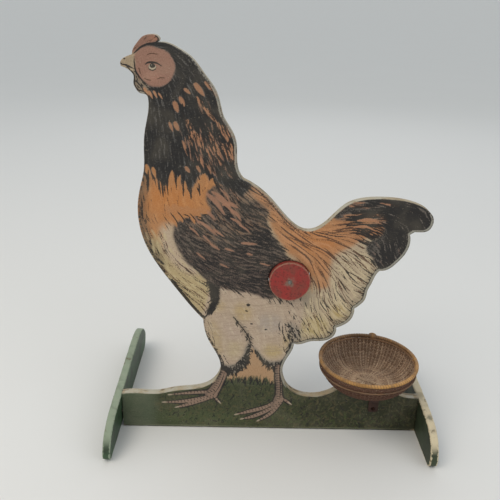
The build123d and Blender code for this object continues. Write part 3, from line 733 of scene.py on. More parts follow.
@dataclass
class Canvas:
    """A flat print in board millimetres: a tint and two inks on a fine grid."""

    width: float
    height: float
    cell: float = 0.5
    seed: int = 7

    def __post_init__(self) -> None:
        """Lays out the grid and the two fields that make edges ragged."""
        self.rng = np.random.default_rng(self.seed)
        self.u = (np.arange(int(self.width / self.cell) + 2) + 0.5) * self.cell
        self.z = (np.arange(int(self.height / self.cell) + 2) + 0.5) * self.cell
        self.shape = (len(self.z), len(self.u))
        self.tint = np.ones((*self.shape, 3))
        self.brown, self.black = np.zeros(self.shape), np.zeros(self.shape)
        self.drift = [0.6 * self.cloud(9) + 0.4 * self.cloud(3.5) for _ in range(2)]

    def cloud(self, size: float) -> np.ndarray:
        """Soft random field from -1 to 1 with blobs of a size in millimetres."""
        counts = [int(side / size) + 3 for side in (self.height, self.width)]
        grid = self.rng.uniform(-1, 1, counts)
        (i, f), (j, e) = [np.divmod(axis / size, 1) for axis in (self.z, self.u)]
        f, e = [(s * s * (3 - 2 * s)) for s in (f, e)]
        i, j, f, e = i.astype(int), j.astype(int), f[:, None], e[None, :]
        low = grid[i][:, j] * (1 - e) + grid[i][:, j + 1] * e
        high = grid[i + 1][:, j] * (1 - e) + grid[i + 1][:, j + 1] * e
        return low * (1 - f) + high * f

    def blur(self, layer: np.ndarray, radius: float) -> np.ndarray:
        """The layer averaged over about a radius in millimetres."""
        reach = int(round(radius / self.cell / 1.5))
        for axis in (0, 1) * (3 if reach else 0):
            pad = [(reach + 1, reach) if a == axis else (0, 0) for a in (0, 1)]
            total = np.pad(layer, pad, mode="edge").cumsum(axis)
            size = layer.shape[axis]
            upper, lower = np.arange(size) + 2 * reach + 1, np.arange(size)
            layer = (total.take(upper, axis) - total.take(lower, axis)) / (2 * reach + 1)
        return layer

    def filled(self, loops: Sequence[np.ndarray]) -> np.ndarray:
        """One inside the loops and zero outside, by the even-odd rule."""
        flips = np.zeros((self.shape[0], self.shape[1] + 1), np.int32)
        for loop in loops:
            for (u0, z0), (u1, z1) in zip(loop, np.roll(loop, -1, 0)):
                first, last = [int(np.ceil(z / self.cell - 0.5)) for z in sorted((z0, z1))]
                rows = np.arange(max(first, 0), min(last, self.shape[0]))
                if len(rows):
                    cross = u0 + ((rows + 0.5) * self.cell - z0) / (z1 - z0) * (u1 - u0)
                    column = np.clip(np.ceil(cross / self.cell - 0.5), 0, self.shape[1]).astype(int)
                    np.add.at(flips, (rows, column), 1)
        return (flips[:, :-1].cumsum(1) % 2).astype(float)

    def moved(self, layer: np.ndarray, du: float, dz: float) -> np.ndarray:
        """The layer's value at a distance from each cell."""
        i = np.clip(np.arange(self.shape[0]) + int(round(dz / self.cell)), 0, self.shape[0] - 1)
        j = np.clip(np.arange(self.shape[1]) + int(round(du / self.cell)), 0, self.shape[1] - 1)
        return layer[i][:, j]

    def area(self, corners: Path, soft: float = 1.5, ragged: float = 1.5) -> np.ndarray:
        """A rounded patch.

        Args:
            corners: Its outline.
            soft: How far its edge fades.
            ragged: How far its edge wanders.

        Returns:
            The patch's cover from 0 to 1 over the grid.
        """
        inside = self.filled([rounded(np.array(corners, float))])
        rows, columns = np.indices(self.shape)
        i = np.clip(rows + self.drift[0] * ragged / self.cell, 0, self.shape[0] - 1).astype(int)
        j = np.clip(columns + self.drift[1] * ragged / self.cell, 0, self.shape[1] - 1).astype(int)
        return self.blur(inside[i, j], soft)

    def wash(self, cover: np.ndarray, code: str, strength: float = 1.0, black: float | None = None) -> None:
        """Tints a patch, and sets its black ink if a level is given."""
        m = cover[..., None] * strength
        self.tint = self.tint * (1 - m) + np.array(shade(code)[:3]) * m
        if black is not None:
            self.black = self.black * (1 - cover) + black * cover
            self.brown = self.brown * (1 - cover)

    def mark(self, path: np.ndarray, width: float, layer: Layer, strength: float, code: str = "000000",
             bias: float = 1.0) -> None:
        """Draws one stroke, thin at both ends.

        Args:
            path: Points along it.
            width: Its greatest width.
            layer: What it is drawn with.
            strength: How strong it is, from 0 to 1.
            code: Its shade on the tint layer, where it also lifts the inks.
            bias: Below 1 the widest place comes early, above 1 late.
        """
        low = np.maximum(((path.min(0) - width) / self.cell).astype(int), 0)
        high = ((path.max(0) + width) / self.cell).astype(int) + 1
        place = np.s_[low[1] : high[1], low[0] : high[0]]
        u, z = self.u[place[1]][None, :], self.z[place[0]][:, None]
        cover, pieces = np.zeros((z.shape[0], u.shape[1])), len(path) - 1
        if cover.size == 0:
            return
        for k, (a, b) in enumerate(zip(path, path[1:])):
            du, dz = b - a
            t = np.clip(((u - a[0]) * du + (z - a[1]) * dz) / max(du * du + dz * dz, 1e-9), 0, 1)
            gap = np.hypot(u - a[0] - t * du, z - a[1] - t * dz)
            half = width / 2 * np.sin(np.pi * np.clip((k + t) / pieces, 0, 1) ** bias) ** 0.7
            cover = np.maximum(cover, np.clip((half - gap) / self.cell + 0.5, 0, 1))
        cover *= strength
        if layer is TINT:
            m = cover[..., None]
            self.tint[place] = self.tint[place] * (1 - m) + np.array(shade(code)[:3]) * m
            self.black[place] *= 1 - cover
            self.brown[place] *= 1 - cover
        else:
            ink = self.black if layer is BLACK else self.brown
            ink[place] = np.maximum(ink[place], cover)

    def sample(self, layer: np.ndarray, at: np.ndarray) -> np.ndarray:
        """The layer's values between cells.

        Args:
            layer: One layer of the canvas.
            at: Points, as u and z.

        Returns:
            A value, or a colour, for each point.
        """
        place = at / self.cell - 0.5
        corner = np.clip(np.floor(place).astype(int), 0, np.array(self.shape[::-1]) - 2)
        f = np.clip(place - corner, 0, 1)
        j, i = corner.T
        e, f = (f[:, 0:1], f[:, 1:2]) if layer.ndim == 3 else (f[:, 0], f[:, 1])
        low = layer[i, j] * (1 - e) + layer[i, j + 1] * e
        return low * (1 - f) + (layer[i + 1, j] * (1 - e) + layer[i + 1, j + 1] * e) * f


@dataclass
class HenPicture(Canvas):
    """The hen in coloured inks, drawn feather by feather."""

    loops: Sequence[np.ndarray] = ()

    # Which way the feathers point: u, z and degrees above the board's right.
    LAY = [(60, 498, 10), (90, 480, -40), (110, 460, -60), (80, 425, -84), (60, 380, -90), (100, 395, -72),
           (125, 420, -66), (138, 385, -70), (70, 345, -90), (105, 345, -80), (145, 340, -55),
           (48, 320, -88), (80, 315, -82), (60, 270, -72), (85, 245, -42), (100, 205, -40),
           (130, 190, -62), (125, 150, -74), (160, 150, -62), (195, 165, -80), (215, 140, -70),
           (88, 290, -30), (112, 312, -52), (150, 305, -42), (118, 262, -26), (150, 232, -8),
           (172, 252, -8), (192, 225, -4), (170, 290, -22), (165, 330, -34), (200, 300, -44),
           (222, 275, -34), (246, 278, -6), (238, 240, -66), (262, 262, -38), (245, 205, -88),
           (262, 205, -74), (290, 240, -42), (300, 268, -22), (268, 292, 14), (300, 306, 8),
           (340, 312, -8), (366, 302, -52), (345, 285, -70), (330, 268, -78), (322, 255, -56),
           (300, 215, -26), (272, 190, -50), (250, 160, -62), (286, 172, -24), (320, 245, -46)]

    def heading(self, at: np.ndarray) -> np.ndarray:
        """Unit direction of the feathers at points."""
        lay = np.array(self.LAY, float)
        away = (at[:, None] - lay[None, :, :2]) ** 2
        weight = 1 / (away.sum(2) + 60) ** 1.6
        turn = np.radians(lay[:, 2])
        way = np.column_stack([weight @ np.cos(turn), weight @ np.sin(turn)])
        return way / np.linalg.norm(way, axis=1)[:, None]

    def hatch(self, cover: np.ndarray, gap: float, length: Span, width: Span, layer: Layer,
              strength: Span, code: str = "000000", sway: float = 8.0, turn: float | None = None,
              bias: float = 0.8) -> None:
        """Fills a patch with strokes that follow the feathers.

        Args:
            cover: The patch.
            gap: Average distance between strokes.
            length: Shortest and longest stroke.
            width: Thinnest and thickest stroke.
            layer: What the strokes are drawn with.
            strength: Weakest and strongest stroke.
            code: Shade on the tint layer.
            sway: How far a stroke may swing from the feathers, in degrees.
            turn: A fixed direction instead of the feathers'.
            bias: Where the strokes are widest.
        """
        u, z = np.meshgrid(np.arange(0, self.width, gap), np.arange(0, self.height, gap))
        start = np.column_stack([u.ravel(), z.ravel()]) + self.rng.uniform(-0.6, 0.6, (u.size, 2)) * gap
        start = start[self.sample(cover, start) > self.rng.uniform(0.3, 0.7, len(start))]
        count, steps = len(start), 6
        reach, wide, dark = [self.rng.uniform(*span, count) for span in (length, width, strength)]
        lean, curl = np.radians(self.rng.normal(0, sway, count)), np.radians(self.rng.normal(0, sway, count))
        paths, fixed = [start], math.radians(turn or 0.0)
        for k in range(steps):
            x, y = self.heading(paths[-1]).T if turn is None else (math.cos(fixed), math.sin(fixed))
            a = lean + curl * (k / steps - 0.5) * 2
            way = np.column_stack([x * np.cos(a) - y * np.sin(a), x * np.sin(a) + y * np.cos(a)])
            paths.append(paths[-1] + way * (reach / steps)[:, None])
        for path, w, d in zip(np.stack(paths, 1), wide, dark):
            self.mark(path, w, layer, d, code, bias)

    def strokes(self, marks: Sequence[tuple[float, ...]], layer: Layer, strength: float,
                code: str = "000000", bias: float = 0.7) -> None:
        """Draws single strokes, each given as its start, its end, its width and how far it bows."""
        for u0, z0, u1, z1, width, *bow in marks:
            a, b = np.array([u0, z0], float), np.array([u1, z1], float)
            across = np.array([a[1] - b[1], b[0] - a[0]]) / max(np.linalg.norm(b - a), 1e-9)
            middle = (a + b) / 2 + across * (bow[0] if bow else 0.0)
            self.mark(through([a, middle, b], 4), width, layer, strength, code, bias)

    def line(self, points: Path, width: float, layer: Layer = BLACK, strength: float = 1.0,
             code: str = "000000") -> None:
        """Draws one curved line through points, of nearly even width."""
        self.mark(through(points, 5), width, layer, strength, code, 1.0)

    def paint(self) -> "HenPicture":
        """Draws the whole picture and returns it."""
        self.board = self.filled(self.loops)
        self.wash(np.ones(self.shape), "b3a083")
        for part in (self.breast, self.back, self.fluff, self.tail, self.belly, self.wing, self.neck,
                     self.head, self.ground, self.hems, self.legs, self.outline):
            part()
        return self

    def breast(self) -> None:
        """Ochre-orange breast that pales downwards, with a pale bar beside the wing."""
        low = self.area([(34, 288), (60, 290), (66, 277), (74, 264), (88, 242), (106, 230), (124, 213),
                         (113, 190), (104, 170), (76, 200), (48, 232), (30, 262)], 3, 2)
        self.wash(low, "b3a079")
        orange = self.area([(10, 375), (170, 352), (140, 300), (108, 298), (90, 290), (74, 290), (64, 282),
                            (52, 270), (15, 276)], 7, 3)
        self.wash(orange, "b07c4e")
        self.wash(self.area([(40, 345), (100, 330), (104, 312), (70, 300), (40, 305)], 9, 4), "b87a42", 0.75)
        self.wash(self.area([(56, 286), (66, 293), (73, 286), (76, 264), (92, 243), (106, 231), (98, 224),
                             (80, 234), (64, 250), (58, 264)], 4, 2), "b8a48c")
        self.hatch(orange, 7.5, (10, 24), (1.0, 1.4), BROWN, (0.35, 0.7))
        self.hatch(orange, 9, (8, 16), (1.6, 3.0), TINT, (0.3, 0.6), "c08a58")
        edge = self.board * self.blur(1 - self.moved(self.board, -9, -3), 5)
        left = edge * self.area([(10, 380), (80, 380), (75, 300), (80, 250), (60, 230), (10, 260)], 8, 0)
        self.wash(left, "57483b", 0.75)
        self.hatch(left, 4, (8, 18), (0.8, 1.6), BLACK, (0.5, 0.8))
        self.hatch(low, 7.5, (20, 46), (0.9, 1.2), BROWN, (0.4, 0.8), sway=5)
        for k in range(7):
            fold = [(40 + 3 * k, 262 - 6 * k), (58 + 3 * k, 236 - 5 * k), (84 + 2 * k, 214 - 4 * k),
                    (108, 196 - 3 * k)]
            self.line(fold, 1.0 + 0.2 * (k % 3), BROWN if k % 2 else BLACK, 0.5 + 0.1 * (k % 3))
        self.line([(57, 284), (62, 266), (76, 246), (96, 226), (110, 214)], 1.2, BLACK, 0.6)
        self.hatch(low, 9.5, (8, 14), (1.5, 3.0), TINT, (0.4, 0.7), "c0b08a")
        self.hatch(low, 10, (18, 44), (0.9, 1.2), BLACK, (0.45, 0.75), sway=5)

    def back(self) -> None:
        """Orange-brown saddle with long strands that run into the tail and round the button."""
        back = self.area([(148, 352), (176, 340), (209, 309), (232, 290), (248, 293), (265, 312),
                          (281, 322), (320, 312), (326, 280), (301, 274), (285, 264), (268, 243),
                          (264, 215), (250, 206), (240, 226), (224, 246), (212, 254), (199, 271),
                          (187, 292), (182, 311), (166, 322)], 3, 2.5)
        self.wash(back, "ab7b52")
        self.wash(self.area([(205, 285), (228, 286), (270, 284), (262, 262), (236, 252), (214, 262)], 6, 3),
                  "b57b49", 0.8)
        self.wash(self.area([(146, 356), (178, 340), (214, 304), (206, 296), (172, 318), (150, 332)], 4, 2),
                  "8d6c52", 0.7)
        self.hatch(back, 7.5, (18, 36), (1.8, 3.6), TINT, (0.3, 0.6), "c08d63", 4)
        self.hatch(back, 8.4, (26, 60), (1.1, 1.5), BROWN, (0.55, 0.9), sway=3)
        root = self.area([(262, 300), (300, 310), (330, 300), (328, 278), (300, 270), (276, 282)], 5, 3)
        self.wash(root, "8f6547", 0.55)
        self.hatch(root, 4.2, (18, 40), (1.0, 2.0), BLACK, (0.6, 1.0), sway=5)
        self.hatch(back * self.area([(150, 360), (240, 300), (280, 325), (330, 300), (300, 270),
                                     (200, 280), (150, 320)], 3, 2), 14, (24, 50), (1.1, 1.5), BLACK,
                   (0.45, 0.7), sway=4)

    def fluff(self) -> None:
        """Cream under-tail fluff with dark curling strokes and scalloped shade."""
        fluff = self.area([(258, 252), (272, 262), (290, 272), (304, 280), (322, 281), (336, 270),
                           (356, 292), (362, 250), (342, 228), (322, 196), (302, 156), (270, 132),
                           (228, 124), (226, 180), (238, 206), (256, 208), (264, 226)], 3, 4)
        self.wash(fluff, "b2a086")
        self.wash(self.area([(262, 192), (288, 190), (296, 172), (270, 166)], 5, 3), "b09a62", 0.8)
        self.wash(self.area([(228, 168), (256, 178), (270, 150), (250, 140), (226, 146)], 5, 3), "ad9a66",
                  0.8)
        self.wash(self.area([(210, 172), (226, 186), (228, 150), (214, 130), (200, 140)], 5, 3), "6f675c",
                  0.8)
        self.wash(self.area([(220, 200), (244, 204), (240, 184), (222, 182)], 5, 3), "8b8072", 0.7)
        self.hatch(fluff, 7.0, (16, 34), (1.8, 3.4), TINT, (0.35, 0.7), "c9b897", 6)
        self.hatch(fluff, 8.0, (14, 36), (1.0, 1.4), BROWN, (0.45, 0.8), sway=6)
        self.hatch(fluff, 8.6, (12, 34), (1.0, 1.5), BLACK, (0.4, 0.85), sway=6)
        hem = fluff * self.blur(1 - self.moved(self.board, 8, -7), 2.5)
        self.wash(hem, "7d7361", 0.4)
        self.hatch(hem, 4.4, (6, 12), (1.0, 1.7), BLACK, (0.5, 0.9), sway=14)
        shadow = self.area([(206, 186), (228, 196), (230, 140), (214, 126), (198, 132)], 3, 4)
        self.hatch(shadow, 4.6, (8, 18), (1.1, 1.6), BLACK, (0.45, 0.9), sway=10)

    def tail(self) -> None:
        """Charcoal tail with wavy orange strands at its root and fine grey feather lines."""
        tail = self.area([(254, 302), (284, 326), (330, 334), (382, 322), (384, 288), (362, 282),
                          (356, 262), (342, 240), (322, 236), (314, 246), (305, 258), (300, 268),
                          (308, 276), (321, 284), (322, 294), (300, 300), (281, 300)], 1.6, 3)
        self.wash(tail, "5f5851", 1.0, 0.52)
        root = self.area([(256, 298), (270, 309), (292, 311), (312, 304), (320, 292), (314, 280),
                          (298, 276), (276, 274)], 5, 3)
        self.hatch(root * tail, 5.6, (14, 28), (1.6, 3.0), TINT, (0.5, 0.85), "a8764f", 5)
        self.hatch(root * tail, 4.4, (20, 44), (1.0, 2.0), BLACK, (0.7, 1.0), sway=5)
        self.hatch(tail, 6.4, (14, 30), (0.9, 1.3), TINT, (0.2, 0.45), "857a6f", 6)
        self.hatch(tail, 14, (10, 22), (1.0, 1.8), TINT, (0.2, 0.5), "7f5b48", 6)
        self.strokes([(276, 318, 300, 316, 3.2, 1), (280, 322, 296, 322, 2.4),
                      (312, 322, 336, 318, 2.6, 1), (300, 308, 326, 300, 3, 2),
                      (288, 300, 318, 296, 3.2, 4), (284, 292, 312, 287, 3.0, 4)], TINT, 0.8, "a9795a")
        self.hatch(tail * self.area([(264, 318), (300, 332), (352, 328), (350, 296), (322, 284),
                                     (310, 300), (280, 306)], 4, 3), 4.6, (16, 34), (1.0, 2.2), BLACK,
                   (0.7, 1.0), sway=5)
        self.hatch(tail * self.area([(326, 334), (385, 325), (385, 240), (305, 232), (318, 280)], 5, 2),
                   4.0, (10, 22), (1.0, 2.0), BLACK, (0.7, 1.0), sway=7)

    def belly(self) -> None:
        """Pinkish cream belly and thighs, with the dark bar under the breast."""
        belly = self.area([(119, 218), (141, 210), (165, 208), (196, 197), (215, 195), (232, 200),
                           (230, 150), (222, 134), (213, 100), (197, 99), (187, 105), (170, 128),
                           (163, 103), (154, 92), (142, 87), (128, 98), (116, 112), (106, 150),
                           (108, 178)], 1.2, 2)
        self.wash(belly, "b4a08b")
        patches = (([(139, 186), (166, 189), (168, 166), (154, 164)], "b29a66", 0.65),
                   ([(180, 129), (211, 129), (209, 113), (190, 112)], "b39c5e", 0.7),
                   ([(210, 150), (222, 148), (219, 122), (210, 122)], "b39c62", 0.6),
                   ([(114, 190), (138, 191), (133, 176), (116, 176)], "b39c64", 0.6),
                   ([(112, 160), (122, 170), (134, 118), (124, 112)], "b09a6a", 0.6),
                   ([(138, 138), (158, 136), (154, 110), (138, 108)], "b8a880", 0.5),
                   ([(174, 174), (205, 175), (209, 150), (177, 147)], "a19890", 0.55),
                   ([(130, 168), (150, 160), (160, 132), (138, 136)], "b39f90", 0.6))
        for patch, code, strength in patches:
            self.wash(self.area(patch, 5, 3) * belly, code, strength)
        self.hatch(belly, 8.5, (8, 18), (1.6, 3.2), TINT, (0.2, 0.45), "c4b39c", 10)
        rim = belly * self.blur(1 - self.moved(self.board, -8, 0), 3)
        self.hatch(rim, 4.2, (8, 20), (1.1, 1.6), BLACK, (0.5, 0.9), sway=8)
        self.hatch(belly, 9, (6, 16), (1.0, 1.4), BROWN, (0.25, 0.5), sway=12)
        self.hatch(belly, 7, (10, 26), (1.0, 2.0), TINT, (0.2, 0.45), "9c8a74", 6, 2)
        self.hatch(self.area([(180, 204), (236, 204), (232, 188), (186, 190)], 4, 3), 4.8, (8, 16),
                   (1.1, 1.5), BLACK, (0.45, 0.85), sway=10)
        for spot in ((162, 187, 166, 187, 4), (167, 161, 170, 160, 2.6), (185, 153, 188, 153, 2.2),
                     (160, 179, 164, 178, 2.2)):
            self.strokes([spot], BLACK, 0.8)
        band = self.area([(108, 230), (121, 222), (130, 214), (128, 198), (124, 178), (115, 171),
                          (112, 175), (117, 194), (115, 210)], 1.4, 2.5)
        self.wash(band, "433c35", 0.9, 0.62)
        self.hatch(band, 3.4, (5, 12), (0.8, 1.4), BLACK, (0.7, 1.0), turn=-120, sway=20)

    def wing(self) -> None:
        """Charcoal wing, warmer and finely barred below, with orange and rose quills above."""
        wing = self.area([(115, 338), (112, 321), (119, 307), (111, 303), (100, 306), (92, 300), (82, 298),
                          (75, 290), (72, 284), (72, 273), (78, 256), (87, 244), (99, 231), (111, 221),
                          (121, 213), (141, 206.5), (165, 204.5), (180, 200), (195, 190), (216, 240),
                          (200, 268), (189, 283), (181, 296), (184, 308), (176, 318), (162, 324),
                          (148, 338)], 1.2, 2.6)
        self.wash(wing, "5c5149", 1.0, 0.46)
        self.wash(wing * self.area([(80, 262), (200, 262), (220, 190), (110, 196)], 9, 4), "51443e", 0.85)
        self.wash(wing * self.area([(138, 328), (172, 320), (186, 298), (202, 268), (180, 258), (152, 285),
                                    (132, 302)], 5, 3), "4b423c", 0.6, 0.56)
        self.wash(self.area([(112, 345), (150, 336), (158, 322), (128, 312), (112, 322)], 5, 3) * wing,
                  "6b5647", 0.55)
        upper = wing * self.area([(96, 345), (176, 345), (182, 285), (100, 270), (80, 290)], 6, 3)
        self.hatch(upper, 6.5, (12, 26), (1.4, 2.8), TINT, (0.3, 0.65), "80654f", 8)
        self.hatch(wing, 5.0, (6, 14), (0.8, 1.2), TINT, (0.2, 0.5), "867565", 9)
        self.hatch(wing, 4.8, (8, 20), (0.9, 1.4), BLACK, (0.55, 0.95), sway=7)
        self.hatch(wing, 7.0, (8, 18), (1.0, 2.0), BROWN, (0.3, 0.6), sway=8)
        self.strokes([(112, 330, 134, 303, 5.5, 2), (118, 332, 143, 308, 4.5, 3),
                      (122, 326, 146, 302, 3, 2), (104, 312, 124, 296, 4, 2), (103, 296, 126, 277, 4, 1),
                      (130, 316, 150, 312, 5, 3), (140, 311, 153, 296, 4, 2), (116, 268, 129, 259, 3.4),
                      (134, 262, 146, 258, 2.6), (153, 269, 173, 268, 3.6), (160, 256, 168, 254, 2.8),
                      (120, 286, 134, 276, 3), (126, 338, 140, 318, 3, 2), (134, 340, 150, 322, 2.6, 2),
                      (96, 302, 106, 290, 3), (140, 300, 156, 288, 3, 2), (150, 292, 164, 282, 2.4, 1),
                      (92, 288, 104, 276, 2.6, 1), (108, 278, 118, 268, 2.4), (100, 256, 112, 246, 2.2),
                      (176, 244, 190, 240, 2.2), (128, 242, 140, 236, 2)], TINT, 0.75, "a67a60")
        tips = [(66 + 7.5 * k, 314 - 1.2 * k + 3 * (k % 2), 78 + 7.0 * k, 287 + 4.5 * (k % 3) + 1.5 * k,
                 7.5, 1.2) for k in range(6)]
        self.strokes(tips, TINT, 0.95, "b07c50", 0.6)
        self.strokes([(u0 + 4, z0 - 8, u1 + 3.2, z1 - 1, 1.4, 1.2) for u0, z0, u1, z1, *_ in tips], BLACK,
                     0.9)

    def neck(self) -> None:
        """Charcoal hackle with orange flecks and long streaks beside the nape, ending in points."""
        neck = self.area([(20, 362), (41, 352), (51, 350), (58, 343), (63, 335), (69, 340), (72, 355),
                          (78, 349), (86, 339), (94, 333), (100, 338), (105, 350), (112, 352), (119, 342),
                          (142, 334), (154, 325), (168, 345), (165, 420), (140, 480), (90, 512), (60, 506),
                          (56, 494), (38, 484), (36, 450), (44, 436), (30, 425)], 1.2, 2)
        self.wash(neck, "474543", 1.0, 0.58)
        self.wash(self.area([(70, 492), (96, 476), (120, 446), (134, 408), (122, 402), (104, 440),
                             (84, 470)], 4, 3), "5a5752", 0.5)
        self.hatch(neck, 6.0, (8, 18), (0.9, 1.3), TINT, (0.15, 0.4), "7d7973", 7)
        self.hatch(neck, 5.5, (10, 22), (0.9, 1.6), BLACK, (0.75, 1.0), sway=6)
        warm = neck * self.area([(80, 440), (130, 440), (150, 400), (150, 350), (100, 360), (84, 400)], 7, 4)
        self.hatch(warm, 10, (8, 20), (1.4, 2.8), TINT, (0.4, 0.75), "8a6750", 6)
        self.strokes([(111, 454, 121, 443, 4.2), (120, 446, 126, 434, 3.6), (100, 452, 111, 438, 6),
                      (84, 437, 90, 426, 5), (89, 446, 96, 440, 4), (78, 432, 82, 420, 6),
                      (102, 438, 113, 422, 4.6), (111, 426, 125, 409, 4.8), (91, 413, 97, 402, 5),
                      (78, 410, 82, 400, 5.4), (72, 410, 76, 399, 3.4), (96, 400, 110, 380, 9, 1),
                      (94, 396, 97, 382, 3.6), (86, 390, 92, 372, 2.6), (116, 400, 127, 370, 5.5, -1),
                      (122, 388, 130, 361, 6.5), (124, 412, 134, 392, 3.6), (130, 408, 141, 394, 6),
                      (133, 398, 144, 378, 3.4), (131, 388, 141, 364, 6), (138, 388, 146, 362, 6.5),
                      (112, 382, 120, 366, 3), (104, 372, 110, 360, 3), (89, 360, 94, 353, 4.4),
                      (102, 362, 106, 353, 4), (112, 366, 118, 352, 3)], TINT, 0.78, "aa7a58")
        self.hatch(warm * self.area([(84, 412), (150, 412), (150, 350), (90, 350)], 5, 3), 6.4, (8, 20),
                   (1.0, 2.0), TINT, (0.4, 0.8), "a3755a", 5)
        self.hatch(warm, 3.8, (8, 22), (0.9, 1.5), BLACK, (0.5, 1.0), sway=6)
        peaks = [(44, 362, 49, 346, 6), (52, 359, 55, 346, 4.5), (72, 336, 74, 356, 6.5),
                 (80, 338, 83, 351, 4), (89, 332, 88, 344, 3.4), (106, 334, 111, 353, 8),
                 (115, 334, 120, 348, 5), (98, 328, 101, 342, 4)]
        self.strokes(peaks, TINT, 0.95, "ad7b4e")
        self.strokes([(47, 356, 46, 330, 2), (62, 346, 63, 322, 2.4), (67, 345, 69, 324, 1.6),
                      (86, 344, 86, 322, 1.8), (94, 340, 95, 320, 2.6), (77, 350, 79, 330, 1.4),
                      (104, 342, 105, 324, 1.6)], BLACK, 0.95)

    def head(self) -> None:
        """Red-brown face and comb, horn beak, wattle and a round eye under a dark lid."""
        face = self.area([(65, 486), (73, 482), (78, 476), (80, 470), (79, 463), (76, 456), (73, 451),
                          (68, 448), (60, 446), (52, 447), (47, 451), (42, 455), (38, 461), (36, 468),
                          (36, 477), (40, 484), (48, 488), (56, 488)], 0.5, 0.6)
        comb = self.area([(30, 480), (37, 481), (45, 487), (53, 491), (61, 492.5), (66, 497), (62, 504),
                          (44, 502), (30, 492)], 0.5, 0.3)
        beak = self.area([(18, 464), (24, 468), (33, 463), (38, 468), (37, 481), (26, 480), (18, 474)],
                         0.5, 0.3)
        wattle = self.area([(33, 464), (39, 463), (42, 456), (47, 450), (52, 446), (50, 436), (40, 436),
                            (31, 448)], 0.6, 0.5)
        for cover, code in ((wattle, "857664"), (face, "94705f"), (comb, "8a6757"), (beak, "a08e75")):
            self.wash(cover, code, 1.0, 0.0)
        self.wash(self.area([(44, 462), (66, 462), (62, 452), (50, 452)], 3, 1) * face, "a37a67", 0.7)
        self.wash(self.area([(52, 497), (62, 500), (63, 495), (55, 492)], 2, 1) * comb, "a3755a", 0.6)
        self.hatch(face, 3.6, (3, 7), (0.6, 0.9), BROWN, (0.25, 0.5), turn=-12, sway=25)
        self.hatch(comb, 4.2, (5, 10), (0.7, 1.0), BROWN, (0.5, 0.8), turn=35, sway=10)
        self.hatch(wattle, 3.4, (5, 10), (0.8, 1.5), BLACK, (0.7, 1.0), turn=-62, sway=14)
        self.line([(35.5, 479.5), (40, 483.5), (46, 488), (54, 491), (63, 492)], 2.0)
        self.line([(37, 479), (37, 470), (38.5, 462), (44, 454), (51, 448)], 1.6)
        self.line([(22, 469.5), (27, 469), (31, 467.5), (37, 464.5)], 1.9)
        self.line([(23, 474), (26, 477.5), (31, 480), (36, 481)], 1.1, BROWN)
        self.strokes([(25, 475, 28, 475.5, 1.4), (20, 470, 24, 470.5, 2.2)], BLACK, 0.9)
        self.line([(48, 446), (58, 444), (68, 447), (76, 454)], 1.6)
        self.strokes([(46, 446, 51, 437, 3.6), (51, 443, 55, 434, 3), (56, 443, 60, 435, 2.6),
                      (61, 441, 66, 434, 2)], TINT, 0.9, "ad7f5c")
        self.line([(42, 457), (45, 452), (48, 449)], 1.3)
        self.strokes([(39, 462, 42, 453, 1.4), (41, 467, 44, 458, 1.2), (60, 455, 70, 456, 1.2, 1),
                      (46, 456, 56, 454, 1.2, -1)], BROWN, 0.9)
        self.strokes([(52.6, 467.6, 59.0, 467.4, 6.0)], TINT, 1.0, "aea28c", 1.0)
        self.line([(51.6, 468.6), (52.2, 465.4), (55.6, 464.0), (59.0, 465.2), (60.2, 467.8)], 1.0)
        self.strokes([(53.4, 468.6, 58.4, 468.6, 4.4)], BLACK, 1.0, bias=1.0)
        self.line([(47.6, 469.2), (51, 471.6), (55.8, 472.0), (61, 471.2), (67, 467.6)], 2.1)
        self.strokes([(54.2, 469.2, 55.6, 469.4, 1.0)], TINT, 0.8, "cfc6b2", 1.0)
        self.line([(49, 479), (56, 481), (64, 479.5)], 1.1, BROWN, 0.9)

    def ground(self) -> None:
        """Tan ground between the legs, and a green bank with ragged tops."""
        clear = self.area([(134, 66), (141, 84), (154, 90), (164, 102), (167, 120), (170, 127), (174, 119),
                           (187, 103), (196, 97), (200, 84), (201, 62), (134, 60)], 0.8, 1)
        self.wash(clear, "ac8b69", 1.0, 0.0)
        self.hatch(clear, 5, (6, 12), (0.7, 1.0), BROWN, (0.2, 0.5), turn=4, sway=8)
        bank = self.area([(-20, -20), (420, -20), (420, 110), (345, 90), (290, 90), (262, 62), (236, 62),
                          (214, 74), (198, 73), (165, 76), (132, 73), (118, 70), (100, 68), (60, 70),
                          (-20, 75)], 0.8, 1.5)
        self.wash(bank, "3f442b", 1.0, 0.28)
        self.wash(bank * self.area([(230, 66), (420, 100), (420, -20), (240, -20)], 14, 5), "30311c", 0.85)
        self.wash(bank * self.area([(-20, 90), (34, 80), (46, 40), (40, -20), (-20, -20)], 8, 4), "57604b",
                  0.9, 0.06)
        self.wash(bank * self.area([(40, 30), (160, 26), (160, 2), (40, 2)], 8, 6), "525d3b", 0.6)
        field = bank * self.area([(40, 80), (410, 95), (410, -10), (46, -10)], 8, 3)
        self.hatch(field, 5.0, (5, 12), (0.9, 1.6), BLACK, (0.4, 0.75), turn=84, sway=34)
        self.hatch(field, 5.6, (4, 10), (0.9, 1.8), TINT, (0.25, 0.6), "57583a", 34, 86)
        self.hatch(field, 8, (4, 9), (1.0, 2.4), TINT, (0.3, 0.6), "5f5437", 40, 10)
        self.hatch(field * self.area([(150, 24), (400, 24), (400, 0), (150, 0)], 6, 4), 7, (4, 9), (1, 2),
                   TINT, (0.3, 0.55), "4b5a2c", 30, 80)
        tufts = self.area([(132, 73), (165, 77), (198, 74), (198, 66), (132, 66)], 0.8, 0)
        self.hatch(tufts, 2.4, (6, 13), (1.4, 2.4), TINT, (0.85, 1.0), "474c34", 16, 90, 0.5)
        self.hatch(tufts, 3.2, (6, 12), (0.9, 1.4), BLACK, (0.7, 1.0), sway=16, turn=90)
